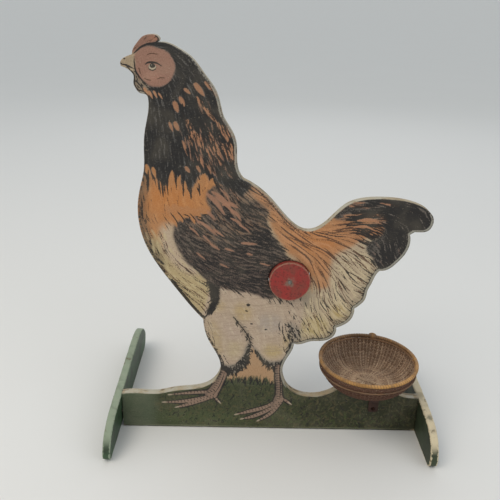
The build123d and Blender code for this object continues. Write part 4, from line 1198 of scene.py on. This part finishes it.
        self.strokes([(2, 23, 34, 22, 2.0, 1), (8, 15.5, 36, 15, 1.6), (4, 30, 18, 31, 1.4),
                      (20, 9, 40, 9, 1.2)], BLACK, 0.4)
        self.strokes([(0, 3, 120, 3, 1.6), (60, 3.5, 220, 3, 1.2), (200, 3, 390, 4, 1.0)], TINT, 0.6,
                     "8b8f74", 1.0)

    def hems(self) -> None:
        """Dark ragged edges where the thighs end, and the dark line between them."""
        hems = ([(123, 126), (128, 111), (133, 100), (146, 99), (156, 108), (162, 124), (166, 138),
                 (169, 124), (164, 101), (154, 90), (143, 85), (130, 93), (122, 109)],
                [(169, 130), (181, 116), (193, 106), (208, 107), (214, 120), (219, 138), (223, 136),
                 (220, 113), (212, 99), (197, 97), (187, 102), (175, 115)])
        for corners in hems:
            hem = self.area(corners, 1.4, 2)
            self.hatch(self.blur(hem, 5) * 1.2, 4.2, (6, 12), (1.0, 1.4), BLACK, (0.35, 0.75), sway=20,
                       turn=-84)
            self.wash(hem, "595954", 0.7)
            self.hatch(hem, 2.3, (5, 10), (1.0, 1.7), BLACK, (0.65, 1.0), sway=24, turn=-88)
        shade_side = self.area([(212, 166), (226, 160), (233, 146), (226, 132), (214, 138)], 3, 3)
        self.wash(shade_side, "7b776d", 0.5)
        self.hatch(shade_side, 3.6, (5, 11), (1.0, 1.5), BLACK, (0.5, 0.9), sway=20, turn=-60)
        thigh = self.area([(140, 174), (146, 171), (156, 160), (166, 146), (170, 136), (170, 126),
                           (165, 132), (160, 143), (151, 157)], 1.2, 2)
        self.wash(thigh, "6a5f50", 0.5)
        self.hatch(thigh, 2.6, (4, 9), (1.0, 1.4), BLACK, (0.6, 0.95), sway=26, turn=-58)
        self.line([(143, 172), (155, 157), (165, 142), (168, 126)], 1.2, BLACK, 0.9)

    def rungs(self, points: Path, half: float, step: float) -> None:
        """Draws short dark bars across a path, like the scales of a shank or a toe."""
        curve = through(points, 12)
        reach = np.linalg.norm(np.diff(curve, axis=0, prepend=curve[:1]), axis=1).cumsum()
        s = np.arange(step * 1.5, reach[-1] - step, step)
        at, ahead = (np.column_stack([np.interp(s + d, reach, curve[:, k]) for k in (0, 1)])
                     for d in (0.0, 1.0))
        uneven = 1.0 + 0.22 * np.sin(s * 2.9)[:, None]
        across = (ahead - at)[:, ::-1] * (-half, half) * uneven + (ahead - at) * 0.4 * np.cos(s * 1.7)[:,
                                                                                                       None]
        for (u, z), (du, dz) in zip(at, across):
            self.strokes([(u - du, z - dz, u + du, z + dz, 1.3, 0.8)], BLACK, 0.74)

    def legs(self) -> None:
        """Scaly shanks and long toes in brownish pink with dark outlines and pale claws."""
        toes = (([(127, 62), (118, 58), (104, 57), (84, 55), (61, 52)], 6.0),
                ([(126, 56), (107, 48), (81, 42), (53, 40)], 6.8),
                ([(126, 51), (103, 43), (83, 36), (70, 32)], 6.2),
                ([(120, 53), (126, 45), (130, 40)], 4.6),
                ([(208, 50), (191, 36), (169, 28), (149, 22)], 7.0),
                ([(212, 46), (194, 31), (174, 20), (157, 15)], 7.0),
                ([(214, 48), (202, 31), (191, 20), (179, 12)], 6.4), ([(209, 51), (218, 45), (224, 40)], 5.0))
        shanks = ([(130, 96), (141, 88), (136, 76), (130, 60), (125, 47), (113, 46), (106, 54), (117, 66),
                   (125, 79)], [(198, 102), (211, 102), (211, 81), (212, 58), (215, 46), (208, 37),
                                (197, 33), (195, 38), (200, 48), (202, 63), (199, 83)])
        for path, width in toes:
            self.line(path, width + 1.6, BLACK, 1.0)
        covers = [self.area(shank, 0.5, 0.5) for shank in shanks]
        for cover in covers:
            self.wash(cover, "4a3d33", 1.0, 1.0)
        for path, width in toes:
            self.line(path, width - 1.4, TINT, 1.0, "8f7766")
        for cover in covers:
            inside = cover * self.moved(cover, 1.3, 0.3) * self.moved(cover, -1.3,
                                                                      -0.3) * self.moved(cover, 0, -1.2)
            self.wash(inside, "8c7463", 1.0, 0.0)
            self.wash(inside * (1 - self.moved(cover, -4.5, 0)), "6f5e52", 0.8)
        for path, width in toes:
            tip, before = np.array(path[-1]), np.array(path[-2])
            claw = (tip - before) / np.linalg.norm(tip - before)
            self.strokes([(*(tip - 6 * claw), *(tip + claw), 2.2)], TINT, 0.9, "b0a08a", 1.0)
            self.rungs(path, width * 0.3, 4.4)
        self.rungs([(203, 104), (204, 84), (206, 62), (206, 44)], 2.6, 3.6)
        self.rungs([(209, 103), (209, 80), (210, 58), (211, 44)], 1.4, 3.6)
        self.rungs([(134, 96), (129, 80), (122, 64), (113, 52)], 3.4, 3.6)
        self.line([(206, 104), (207, 84), (208.5, 62), (208, 44)], 1.5, BLACK, 0.9)
        self.line([(136, 94), (133, 80), (127, 64), (118, 50)], 1.4, BLACK, 0.8)

    def outline(self) -> None:
        """Dark line just inside the cut edge, and the unprinted strip along the right-hand edges."""
        board = self.filled(self.loops[:1])
        comb = self.area([(20, 484), (74, 484), (74, 520), (20, 520)], 1, 0)
        inner = np.maximum(board * self.moved(board, 2.6, -0.5) * self.moved(board, 1.8, -1.8), board * comb)
        figure = self.area([(-20, 84), (110, 84), (128, 60), (212, 66), (232, 70), (262, 84), (420, 110),
                            (420, 530), (-20, 530)], 1, 0)
        deep = inner.copy()
        for turn in range(8):
            a = turn * math.pi / 4
            deep = deep * self.moved(inner, 1.7 * math.cos(a), 1.7 * math.sin(a))
        line = self.blur(inner - deep, 0.7) * inner * figure
        thick = self.area([(70, 226), (104, 196), (120, 165), (96, 160), (50, 214)], 6,
                          3) * (inner - self.moved(inner, -3, -2.4) * inner)
        self.black = np.maximum(self.black, np.clip(1.2 * line, 0, 0.9))
        self.black = np.maximum(self.black, np.clip(thick, 0, 0.9))
        bare = self.blur(board - inner, 0.5) * board * figure
        self.wash(np.clip(bare * 1.4, 0, 1), "9a978a", 1.0, 0.0)


# ---- Pieces ------------------------------------------------------------------------------

PRINT = PrintedPaper("Coloured print", shade("1f1d1c"), shade("53392a"), shade("b3a78f"))
PLY = SawnPly("Old plywood", shade("a9a594"), shade("9c8a69"), shade("6d5d46"))
LEFT_PAINT = RubbedPaint("Left foot paint", shade("3f5c3e"), shade("333f2f"), shade("84907a"),
                         shade("63583f"))
# The right foot's paint is darker than the left's: partly a duller paint of its own and partly painted shade
# for its inner face, which lies in shade.
RIGHT_PAINT_WITH_SHADE = RubbedPaint("Right foot paint with painted shade", shade("3b4631"), shade("2b3122"), shade("c4b697"),
                          shade("6d6248"))
RED_PAINT = ButtonPaint("Button paint", shade("7d3b31"), shade("8f302b"), shade("80695a"), shade("94705c"))
BEECH = Timber("Beech", shade("b08a5a"), shade("8a6238"), (60.0, 60.0, 7.0), 30.0)
CHUTE_PINE = Timber("Pine slats", shade("b8986a"), shade("94703f"), (7.0, 60.0, 60.0), 46.0)
TURNED_EGG = Timber("Turned egg wood", shade("d0b88e"), shade("a98a5c"), (38.0, 38.0, 10.0), 26.0, 0.4, 0.05)
STEEL = Metal("Old steel", shade("8e8a84"), shade("4b3f35"), 0.38)
DARK_IRON = Metal("Rusted iron", shade("4a332a"), shade("2c1e18"), 0.6)
SPRING_STEEL = Metal("Spring steel", shade("9a9b9c"), shade("54504c"), 0.28)
BRASS = Metal("Brass", shade("b08d4c"), shade("6a4f2a"), 0.32)
# The third tone of each cane finish is stain, and also painted shade in the deep places of the weave.
BOWL_CANE = Cane("Bowl cane", shade("b89d80"), shade("7f624c"), shade("40291e"), 0.72, shade("512f20"))
RIM_CANE = Cane("Rim cane", shade("c08f4e"), shade("80634a"), shade("38241a"), 0.9)
HOOP_CANE = Cane("Hoop cane", shade("8d6a4c"), shade("57402e"), shade("38261b"), 0.6)
STRAP_LEATHER = Leather("Strap leather", shade("2d1b14"), shade("402a20"))


@dataclass
class PrintedHen:
    """The paper print glued to the board's face. Its mesh cells and its relief are in millimetres."""

    node: str = "printed_face"
    cell: float = 1.0
    fine_cell: float = 0.62
    gap: float = 0.02
    relief: float = 0.04
    # The part of the print that holds the head: its limits along u and along z.
    HEAD = (18, 84, 432, 503)

    def loops(self, left: float) -> list[np.ndarray]:
        """The print's cut edges on its front, in board millimetres, the outer one first."""
        bm = bmesh.new()
        bm.from_mesh(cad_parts[self.node].data)
        bmesh.ops.remove_doubles(bm, verts=bm.verts, dist=1e-6)
        front = {f for f in bm.faces if f.normal.y < -0.9}
        ahead: dict[int, list[int]] = {}
        for edge in bm.edges:
            if sum(f in front for f in edge.link_faces) == 1:
                a, b = (v.index for v in edge.verts)
                ahead.setdefault(a, []).append(b)
                ahead.setdefault(b, []).append(a)
        bm.verts.ensure_lookup_table()
        found, seen = [], set()
        for start in sorted(ahead):
            if start in seen:
                continue
            loop, here = [], start
            while here is not None:
                seen.add(here)
                loop.append(here)
                here = next((n for n in ahead[here] if n not in seen), None)
            co = np.array([bm.verts[i].co for i in loop])
            found.append(np.column_stack([co[:, 0] - left, co[:, 2]]) / MM)
        bm.free()
        return sorted(found, key=lambda loop: -np.ptp(loop[:, 0]))[:2]

    def lattice(self, canvas: Canvas) -> np.ndarray:
        """Points spread over the print, closer together on the head."""
        u_low, u_high, z_low, _ = self.HEAD
        parts = []
        for cell, (u0, u1, z0, z1), keep in ((self.cell, (0, canvas.width, 0, canvas.height), False),
                                             (self.fine_cell, self.HEAD, True)):
            u, z = np.meshgrid(np.arange(u0, u1, cell), np.arange(z0, z1, cell * math.sin(math.pi / 3)))
            u = u + (np.arange(len(z))[:, None] % 2) * cell / 2
            at = np.column_stack([u.ravel(), z.ravel()])
            head = (at[:, 0] > u_low) & (at[:, 0] < u_high) & (at[:, 1] > z_low)
            at = at[head == keep]
            clear = canvas.blur(canvas.board, cell * 1.2)
            parts.append(at[canvas.sample(clear, at) > 0.9])
        return np.vstack(parts)

    def border(self, loops: list[np.ndarray]) -> tuple[np.ndarray, list[tuple[int, int]]]:
        """Points along the cut edges, about a cell apart, and the pairs that they are joined in."""
        corners, edges = [], []
        for loop in loops:
            parts = []
            for a, b in zip(loop, np.roll(loop, -1, 0)):
                count = max(1, int(np.linalg.norm(b - a) / self.cell))
                parts += [a + (b - a) * t for t in np.linspace(0, 1, count, endpoint=False)[:, None]]
            first = len(corners)
            corners += parts
            edges += [(first + k, first + (k + 1) % len(parts)) for k in range(len(parts))]
        return np.array(corners), edges

    def triangles(self, loops: list[np.ndarray], inner: np.ndarray) -> tuple[np.ndarray, np.ndarray]:
        """Joins the cut edges and the inner points.

        Args:
            loops: The cut edges.
            inner: Points inside them.

        Returns:
            All points, and the triangles between them that lie on the print, facing forwards.
        """
        corners, edges = self.border(loops)
        at = np.vstack([corners, inner])
        made = geometry.delaunay_2d_cdt([Vector(p) for p in at], edges, [], 0, 1e-5)
        at, faces = np.array(made[0]), np.array(made[2])
        middle = at[faces].mean(1)
        inside = np.zeros(len(middle), bool)
        for loop in loops:
            for (u0, z0), (u1, z1) in zip(loop, np.roll(loop, -1, 0)):
                if z0 != z1:
                    spans = (z0 > middle[:, 1]) != (z1 > middle[:, 1])
                    inside ^= spans & (middle[:, 0] < u0 + (middle[:, 1] - z0) / (z1 - z0) * (u1 - u0))
        faces = faces[inside]
        turned = np.cross(at[faces[:, 1]] - at[faces[:, 0]], at[faces[:, 2]] - at[faces[:, 0]]) < 0
        faces[turned] = faces[turned][:, ::-1]
        return at, faces

    @staticmethod
    def skirt(points: np.ndarray, faces: list[list[int]], rear: float) -> tuple[list, list, list[int]]:
        """A strip that turns the sheet's edge back to the board.

        Args:
            points: The sheet's points.
            faces: Its triangles.
            rear: How far back the strip reaches.

        Returns:
            The strip's new points, its faces, and the point in front of each new one.
        """
        sides = dict.fromkeys(pair for a, b, c in faces for pair in ((a, b), (b, c), (c, a)))
        behind, strip, extra = {}, [], []
        for a, b in (pair for pair in sides if pair[::-1] not in sides):
            for n in (a, b):
                if n not in behind:
                    behind[n] = len(points) + len(extra)
                    extra.append((points[n, 0], rear, points[n, 2]))
            strip.append((b, a, behind[a], behind[b]))
        return extra, strip, list(behind)

    def build(self) -> Piece:
        """The painted sheet: a fine triangle mesh with a turned-back edge."""
        low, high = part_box(self.node)
        loops = self.loops(low.x)
        canvas = HenPicture((high.x - low.x) / MM, high.z / MM, loops=loops).paint()
        at, faces = self.triangles(loops, self.lattice(canvas))
        inland = canvas.sample(canvas.blur(canvas.board, 3), at)
        wave = canvas.sample(canvas.blur(canvas.cloud(14), 2), at) * inland
        depth = low.y + (self.gap + self.relief * (0.5 - 0.5 * wave)) * MM
        points = np.column_stack([at[:, 0] * MM + low.x, depth, at[:, 1] * MM])
        extra, strip, source = self.skirt(points, faces.tolist(), high.y)
        rim = np.clip(canvas.blur(canvas.filled(loops[:1]), 1.6) * 2 - 1, 0, 1)
        layers = {"tint": canvas.tint, "brown": canvas.brown, "black": canvas.black, "rim": rim}
        values = {name: canvas.sample(layer, at) for name, layer in layers.items()}
        numbers = {name: np.concatenate([value, value[source]]) for name, value in values.items()}
        sheet = solid("hen_print", np.vstack([points, extra]), faces.tolist() + strip, numbers)
        return fit(sheet, PRINT, "stand", Slot.PRINT, self.node)


@dataclass
class WornFoot:
    """One foot board with eased, rubbed edges."""

    node: str
    finish: Finish
    voxel: float = 0.0013
    sharp: float = math.radians(35)

    def edge_points(self) -> kdtree.KDTree:
        """Points along the board's sharp edges, ready for nearest-point search."""
        bm = bmesh.new()
        bm.from_mesh(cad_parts[self.node].data)
        bmesh.ops.remove_doubles(bm, verts=bm.verts, dist=1e-6)
        spots = [e.verts[0].co.lerp(e.verts[1].co, t) for e in bm.edges
                 if len(e.link_faces) == 2 and e.calc_face_angle() > self.sharp
                 for t in np.linspace(0, 1, max(2, int(e.calc_length() / 0.002)))]
        tree = kdtree.KDTree(len(spots))
        for k, spot in enumerate(spots):
            tree.insert(spot, k)
        tree.balance()
        bm.free()
        return tree

    def build(self) -> Piece:
        """The board as an even mesh that knows how far each point is from an edge."""
        rough = bpy.data.objects.new("blank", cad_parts[self.node].data.copy())
        bpy.context.scene.collection.objects.link(rough)
        remesh = rough.modifiers.new("Even", "REMESH")
        remesh.mode, remesh.voxel_size = "VOXEL", self.voxel
        ease = rough.modifiers.new("Ease", "SMOOTH")
        ease.factor, ease.iterations = 0.5, 3
        mesh = bpy.data.meshes.new_from_object(rough.evaluated_get(bpy.context.evaluated_depsgraph_get()))
        bpy.data.objects.remove(rough)
        tree = self.edge_points()
        points = np.array([v.co for v in mesh.vertices])
        away = np.array([tree.find(v.co)[2] for v in mesh.vertices])
        board = solid(f"{self.node}_board", points, [tuple(p.vertices) for p in mesh.polygons],
                      {"edge_distance": away})
        return fit(board, self.finish, "stand", Slot.FOOT, self.node)


@dataclass
class PushButton:
    """The round red button: a turned disc with a softened rim and a dished, dented face."""

    node: str = "target_button"
    rim: float = 0.0012
    dish: float = 0.0003
    around: int = 144

    def build(self) -> Piece:
        """The disc as one turned surface."""
        low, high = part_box(self.node)
        centre, radius = (low + high) / 2, (high.x - low.x) / 2
        flat = np.linspace(0.0004, radius - self.rim, 26)
        bend = np.linspace(0, math.pi / 2, 6)[1:]
        reach = [*flat, *(radius - self.rim + self.rim * np.sin(bend)), radius, radius - 0.0006, 0.0004]
        depth = [*(low.y + self.dish * (1 - flat / radius) ** 2), *(low.y + self.rim * (1 - np.cos(bend))),
                 high.y - 0.0006, high.y, high.y]
        reach, depth = np.array(reach), np.array(depth)
        turn = np.arange(self.around) * 2 * np.pi / self.around
        rng = np.random.default_rng(3)
        dents = sum(0.00006 * np.cos(n * turn[None, :] + rng.uniform(0, 6))
                    * np.sin(reach[:, None] * rng.uniform(150, 600)) for n in (2, 3, 5, 8, 13))
        y = depth[:, None] + np.where(np.arange(len(reach))[:, None] < 26, np.abs(dents), 0.0)
        rows = np.stack([centre.x + reach[:, None] * np.cos(turn), y,
                         centre.z + reach[:, None] * np.sin(turn)], 2)
        rim = radius - reach
        rim[31:] = depth[31:] - low.y
        disc = Weave()
        disc.sheet(rows, (False, True), edge_distance=rim[:, None], middle_distance=reach[:, None])
        disc.faces += [tuple(range(self.around)), tuple(reversed(range(disc.count - self.around,
                                                                       disc.count)))]
        return fit(disc.build("push_button"), RED_PAINT, "plunger", Slot.BUTTON, self.node)


@dataclass
class CaneBasket:
    """The round basket: a woven bowl, an outer hoop, and a rim wrapped in split cane."""

    stakes: int = 72
    row_pitch: float = 0.00215
    weave: float = 0.00062
    wraps: int = 112
    knot_azimuth: float = math.radians(74)
    # Radii at which the stakes double in number.
    splits: Span = (0.012, 0.028)
    seed: int = 11
    # Half section of the bowl's middle surface: radius and height above the base.
    PROFILE = [(0, 1.5), (20, 1.5), (34, 1.6), (40.5, 2.3), (45.6, 4.7), (50.8, 8.8), (55.3, 14.4),
               (59.0, 22.2), (60.6, 28), (61.4, 33.0)]

    def __post_init__(self) -> None:
        """Reads the bowl's place from the frame."""
        low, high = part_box("basket_bowl")
        self.centre = np.array([(low.x + high.x) / 2, (low.y + high.y) / 2, low.z])
        self.rng = np.random.default_rng(self.seed)
        curve = through(self.PROFILE, 8) * MM
        reach = np.linalg.norm(np.diff(curve, axis=0, prepend=curve[:1]), axis=1).cumsum()
        self.length = reach[-1]
        self.section = lambda s: np.column_stack([np.interp(s, reach, curve[:, 0]),
                                                  np.interp(s, reach, curve[:, 1])])

    def at(self, radius: np.ndarray, turn: np.ndarray, height: np.ndarray) -> np.ndarray:
        """Points round the basket's axis."""
        x, y, z = radius * np.cos(turn), radius * np.sin(turn), np.broadcast_to(height, np.shape(turn))
        return self.centre + np.stack([np.broadcast_to(x, np.shape(turn)), y, z], -1)

    def ring(self, node: str) -> tuple[float, float, float]:
        """A packed ring's radius, its height above the base and the radius of its tube."""
        low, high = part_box(node)
        tube = (high.z - low.z) / 2
        return (high.x - low.x) / 2 - tube, (low.z + high.z) / 2 - self.centre[2], tube

    def bowl(self) -> Piece:
        """Flat weavers that pass in front of and behind the stakes, row by row."""
        cloth = Weave()
        rows = int(self.length / self.row_pitch)
        for row in range(2, rows + 1):
            s = row * self.length / rows - 0.0006
            (radius, height), (r1, h1) = self.section(np.array([s, s + 0.0004]))
            slope = np.array([r1 - radius, h1 - height]) / math.hypot(r1 - radius, h1 - height)
            count = self.stakes // (1 + (radius <= self.splits[1]) + 2 * (radius <= self.splits[0]))
            turn = np.linspace(0, 2 * np.pi, count * 6 + 1)[:-1]
            wave = np.cos(turn * count / 2 + row * np.pi) * self.weave
            jig = self.rng.normal(0, 0.00012) + 0.00015 * np.sin(turn * 3 + self.rng.uniform(0, 6))
            path = self.at(radius - wave * slope[1] + jig * slope[0], turn,
                           height + wave * slope[0] + jig * slope[1])
            up = np.stack([slope[0] * np.cos(turn), slope[0] * np.sin(turn), np.full(len(turn), slope[1])], 1)
            # Painted shade: rows darken towards the rim, where the inside wall lies in shade, over a random
            # tone for each row; each weaver also takes painted shade where it passes behind a stake.
            tone = 0.55 * self.rng.uniform() + 0.45 * (1 - s / self.length)
            cloth.tube(path, up, (0.00055, self.row_pitch * 0.56), True, tone,
                       0.55 - 0.45 * wave / self.weave)
        # A dark backing sheet of full painted shade fills the gaps between the weavers and the stakes.
        s, turn = np.linspace(0.004, self.length - 0.002, 40), np.linspace(0, 2 * np.pi, 145)[:-1]
        radius, height = self.section(s).T
        hollows = self.at(radius[:, None], np.tile(turn, (40, 1)), height[:, None])
        cloth.sheet(hollows, (False, True), strand_tone=0.0, along=0.0, around=0.0, hollow=1.0)
        for k in range(self.stakes):
            start = 0.0 if k % 4 == 0 else self.splits[k % 2] + 0.001
            s = np.linspace(start, self.length, 34)
            radius, height = self.section(s).T - [[0.0004], [-0.0002]]
            turn = 2 * np.pi * k / self.stakes + 0.012 * self.rng.normal() * np.sin(s / self.length * 3)
            path = self.at(radius, turn, height)
            normal = np.gradient(np.column_stack([radius, height]), axis=0)
            normal /= np.linalg.norm(normal, axis=1)[:, None]
            up = np.stack([-normal[:, 1] * np.cos(turn), -normal[:, 1] * np.sin(turn), normal[:, 0]], 1)
            cloth.tube(path, up, (0.0012, 0.0005), False, self.rng.uniform(0.5, 1.0), 0.1,
                       taper=np.clip(radius / 0.02 + 0.5, 0, 1))
        bowl = cloth.build("woven_bowl")
        points = np.array([v.co for v in bowl.data.vertices]) - self.centre
        skin = self.section(np.linspace(0, self.length, 200))
        middle = np.interp(points[:, 2], skin[:, 1], skin[:, 0])
        outer = np.clip(0.5 + (np.hypot(points[:, 0], points[:, 1]) - middle) / 0.0008, 0, 1)
        bowl.data.attributes.new("outer", "FLOAT", "POINT").data.foreach_set("value",
                                                                             outer.astype(np.float32))
        return fit(bowl, BOWL_CANE, "stand", Slot.CANE, "basket_bowl")

    def base_star(self) -> Piece:
        """Four crossed pairs of flat stakes that start the base."""
        star = Weave()
        for k in range(4):
            turn = math.pi * k / 4 + 0.2
            across = np.array([-math.sin(turn), math.cos(turn), 0])
            for side in (-1, 1):
                t = np.linspace(-0.0135, 0.0135, 15)
                path = self.centre + np.outer(t, [math.cos(turn), math.sin(turn), 0]) + across * side * 0.0013
                path[:, 2] += 0.0025 + 0.0003 * k + 0.0002 * np.cos(t / 0.0135 * 3)
                star.tube(path, UPWARDS, (0.0011, 0.0004), False, self.rng.uniform(0.5, 1), 0.0)
        star_piece = star.build("base_star")
        star_piece.data.materials.append(BOWL_CANE.material())
        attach(star_piece, "stand")
        return star_piece

    def hoop(self) -> Piece:
        """The raised hoop round the outside and the thin one inside the rim, both slightly uneven."""
        _, height, tube = self.ring("basket_hoop")
        radius = float(np.interp(height, [p[1] * MM for p in self.PROFILE],
                                 [p[0] * MM for p in self.PROFILE])) + 0.0012 + tube * 0.4
        both, turn = Weave(), np.linspace(0, 2 * np.pi, 181)[:-1]
        for r, h, t, tone in ((radius, height, tube * 0.7, 0.4), (0.0592, 0.0318, 0.0010, 0.95)):
            r = r + 0.0002 * np.sin(turn * 2 + 1)
            path = self.at(r, turn, h + 0.0003 * np.sin(turn * 3))
            both.tube(path, UPWARDS, (t * 0.9, t), True, tone, 0.1 + 0.1 * np.sin(turn * 20), 10,
                      1 + 0.05 * np.sin(turn * 7))
        return fit(both.build("basket_hoops"), HOOP_CANE, "stand", Slot.RIM, "basket_hoop")

    def rim(self) -> Piece:
        """The rim with its slanting wrap, each turn a ridge with a groove beside it that takes painted shade,
        and the ring painted lighter at the front as if lit there.
        """
        radius, height, tube = self.ring("basket_rim")
        along, round_ = np.linspace(0, 2 * np.pi, self.wraps * 9 + 1)[:-1], np.arange(18) * 2 * np.pi / 18
        t, p = np.meshgrid(along, round_, indexing="ij")
        phase = t * self.wraps + p + 0.5 * np.sin(t * 5) + 0.3 * np.sin(t * 13)
        ridge = np.abs(np.sin(phase / 2)) ** 0.6
        tone = self.rng.uniform(0, 1, self.wraps + 4)[(phase / (2 * np.pi)).astype(int) % self.wraps]
        section = tube * (0.8 + 0.14 * ridge)
        rows = self.at(radius + section * np.cos(p), t, height + section * np.sin(p))
        rim = Weave()
        # Painted light: the tone rises towards the front of the ring, where light falls, and each groove
        # between turns gets painted shade.
        rim.sheet(rows, (True, True), strand_tone=0.3 * tone + 0.35 - 0.3 * np.sin(t - 0.15),
                  along=p * 0.004, around=phase / 6.3, hollow=1 - ridge)
        return fit(rim.build("wrapped_rim"), RIM_CANE, "stand", Slot.RIM, "basket_rim")

    def knot(self) -> Piece:
        """The binding that ends the wrap: five tight turns and a short tucked tail."""
        radius, height, tube = self.ring("basket_rim")
        knot, p = Weave(), np.linspace(0, 2 * np.pi, 25)[:-1]
        for k in range(5):
            turn = self.knot_azimuth + math.radians(1.75) * (k - 2) + 0.012 * np.sin(p)
            swell = tube + 0.0005 + 0.0002 * (2 - abs(k - 2))
            path = self.at(radius + swell * np.cos(p), turn, height + swell * np.sin(p))
            up = (-math.sin(self.knot_azimuth), math.cos(self.knot_azimuth), 0.0)
            knot.tube(path, up, (0.00055, 0.0009), True, self.rng.uniform(0, 0.4), 0.2, 8)
        t = np.linspace(0, 1, 12)
        turn = self.knot_azimuth - 0.08 + 0.17 * t
        path = self.at(radius - 0.0004 + 0.0016 * np.sin(t * 3), turn,
                       height + tube + 0.0006 + 0.0008 * np.sin(t * math.pi))
        knot.tube(path, UPWARDS, (0.0012, 0.0006), False, 0.4, 0.1, 8, np.sin(0.25 + t * 2.6))
        return fit(knot.build("rim_knot"), RIM_CANE, "stand", Slot.RIM, "basket_knot")

    def build(self) -> None:
        """Builds every part of the basket."""
        for part in (self.bowl, self.base_star, self.hoop, self.rim, self.knot):
            part()


@dataclass
class ReturnSpring:
    """The coil that pushes the button out again."""

    node: str = "return_spring"
    wire: float = 0.00035
    turns: float = 8.0
    dead: float = 1.0
    travel: float = 0.007

    def build(self) -> Piece:
        """The coil, with its end turns lying flat."""
        low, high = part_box(self.node)
        centre, radius = (low + high) / 2, (high.x - low.x) / 2 - self.wire
        start, length = low.y + self.wire, high.y - low.y - 2 * self.wire
        t = np.linspace(0, self.turns + 2 * self.dead, 400)
        rise = np.clip((t - self.dead) / self.turns, 0,
                       1) * (length - 4 * self.wire) + 2 * self.wire * np.clip(np.minimum(t, self.dead)
                                                                               + np.maximum(t - self.turns
                                                                                            - self.dead,
                                                                                            0), 0, 2)
        path = np.column_stack([centre.x + radius * np.cos(2 * np.pi * t), start + rise,
                                centre.z + radius * np.sin(2 * np.pi * t)])
        coil = Weave()
        coil.tube(path, (0, 1.0, 0), (self.wire, self.wire), False, sides=8)
        spring = fit(coil.build("coil_spring"), SPRING_STEEL, "plunger", Slot.SPRING, self.node)
        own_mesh(spring)
        return spring


@dataclass
class Hardware:
    """CAD parts whose shape is right as packed, each dressed in its own finish."""

    FINISHES = {PLY: ("hen_board",), STRAP_LEATHER: ("basket_strap",),
                BEECH: ("trigger_lever", "egg_gate", "plunger_rod", "guide_bar", "top_spacer",
                        "gate_block", "corner_blocks", "basket_seat_block", "stop_collar"),
                CHUTE_PINE: ("chute_floor", "chute_rail", "chute_end_stop", "chute_bracket_lower",
                             "chute_bracket_upper"), TURNED_EGG: ("egg_1", "egg_2"),
                BRASS: ("guide_bush", "gate_washer", "spring_washer"),
                STEEL: ("lever_bracket", "lever_pin", "gate_pin", "bracket_screws", "foot_screws",
                        "guide_screws", "rail_pins", "seat_block_screws", "target_nail"),
                DARK_IRON: ("strap_nail",), SPRING_STEEL: ("gate_spring",)}

    def build(self) -> None:
        """Puts each finish on its parts."""
        for finish, nodes in self.FINISHES.items():
            for name in nodes:
                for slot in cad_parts[name].material_slots:
                    slot.material = finish.material()
                log.info("%s in %s", name, finish.name)


# ---- Studio ------------------------------------------------------------------------------


@dataclass
class Studio:
    """A pale floor, soft lights and the camera."""

    eye: Point = (-0.0376, -0.7371, 0.5339)
    pitch: float = 22.28
    yaw: float = 0.63
    roll: float = -1.45
    lens: float = 43.67

    def camera(self) -> None:
        """Sets the camera from its place and its three angles."""
        pitch, yaw, roll = (math.radians(a) for a in (self.pitch, self.yaw, self.roll))
        ahead = Vector((math.sin(yaw) * math.cos(pitch), math.cos(yaw) * math.cos(pitch), -math.sin(pitch)))
        right = ahead.cross(Vector((0, 0, 1))).normalized()
        down = ahead.cross(right)
        across = math.cos(roll) * right + math.sin(roll) * down
        below = ahead.cross(across)
        data = bpy.data.cameras.new("Camera")
        data.lens, data.sensor_width, data.clip_start = self.lens, 36.0, 0.01
        camera = bpy.data.objects.new("Camera", data)
        turn = Matrix((across, -below, -ahead)).transposed()
        camera.matrix_world = Matrix.Translation(self.eye) @ turn.to_4x4()
        bpy.context.scene.collection.objects.link(camera)
        bpy.context.scene.camera = camera

    def floor(self) -> None:
        """A wide round floor that rises very gently far away, so that no horizon shows."""
        turn = np.linspace(0, 2 * np.pi, 97)[:-1]
        sweep = ((0.02, 0), (0.5, 0), (2, 0), (8, 0), (16, 0.1), (40, 0.9), (120, 5.0), (240, 13.0))
        rows = np.stack([np.column_stack([r * np.cos(turn), r * np.sin(turn), 0 * turn + z]) for r,
                         z in sweep])
        disc = Weave()
        disc.sheet(rows, (False, True))
        disc.faces.append(tuple(range(96)))
        floor = disc.build("studio_floor")
        for polygon in floor.data.polygons:
            if polygon.normal.z < 0:
                polygon.flip()
        floor.data.materials.append(PaleFloor("Studio floor", shade("dad9d5")).material())

    def light(self, name: str, place: Point, size: float, watts: float, tone: str) -> None:
        """One square area light that faces the hen.

        Args:
            name: Its name.
            place: Where it hangs.
            size: Its side.
            watts: Its power.
            tone: Its shade.
        """
        data = bpy.data.lights.new(name, "AREA")
        data.shape, data.size, data.energy, data.color = "SQUARE", size, watts, shade(tone)[:3]
        lamp = bpy.data.objects.new(name, data)
        lamp.location = place
        lamp.rotation_euler = (Vector((0, 0, 0.2)) - Vector(place)).to_track_quat("-Z", "Y").to_euler()
        bpy.context.scene.collection.objects.link(lamp)

    def build(self) -> None:
        """Camera, floor, lights and a dim even surround."""
        self.camera()
        self.floor()
        self.light("Key", (-0.9, -1.0, 1.9), 1.3, 20.0, "fff6ea")
        self.light("Fill", (1.6, -1.3, 1.2), 1.6, 7.0, "eef3ff")
        self.light("Back", (0.3, 1.8, 1.6), 1.8, 5.0, "f6f8ff")
        world = bpy.data.worlds.new("Surround")
        world.use_nodes = True
        back = world.node_tree.nodes["Background"]
        back.inputs["Color"].default_value, back.inputs["Strength"].default_value = shade("dfe4e8"), 0.88
        bpy.context.scene.world = world
        bpy.context.scene.view_settings.view_transform = "Standard"


def main() -> None:
    """Builds the studio and every piece."""
    logging.basicConfig(level=logging.INFO, format="%(name)s: %(message)s")
    Studio().build()
    Hardware().build()
    PrintedHen().build()
    WornFoot("left_foot", LEFT_PAINT).build()
    WornFoot("right_foot", RIGHT_PAINT_WITH_SHADE).build()
    PushButton().build()
    CaneBasket().build()
    ReturnSpring().build()


if __name__ == "__main__":
    main()
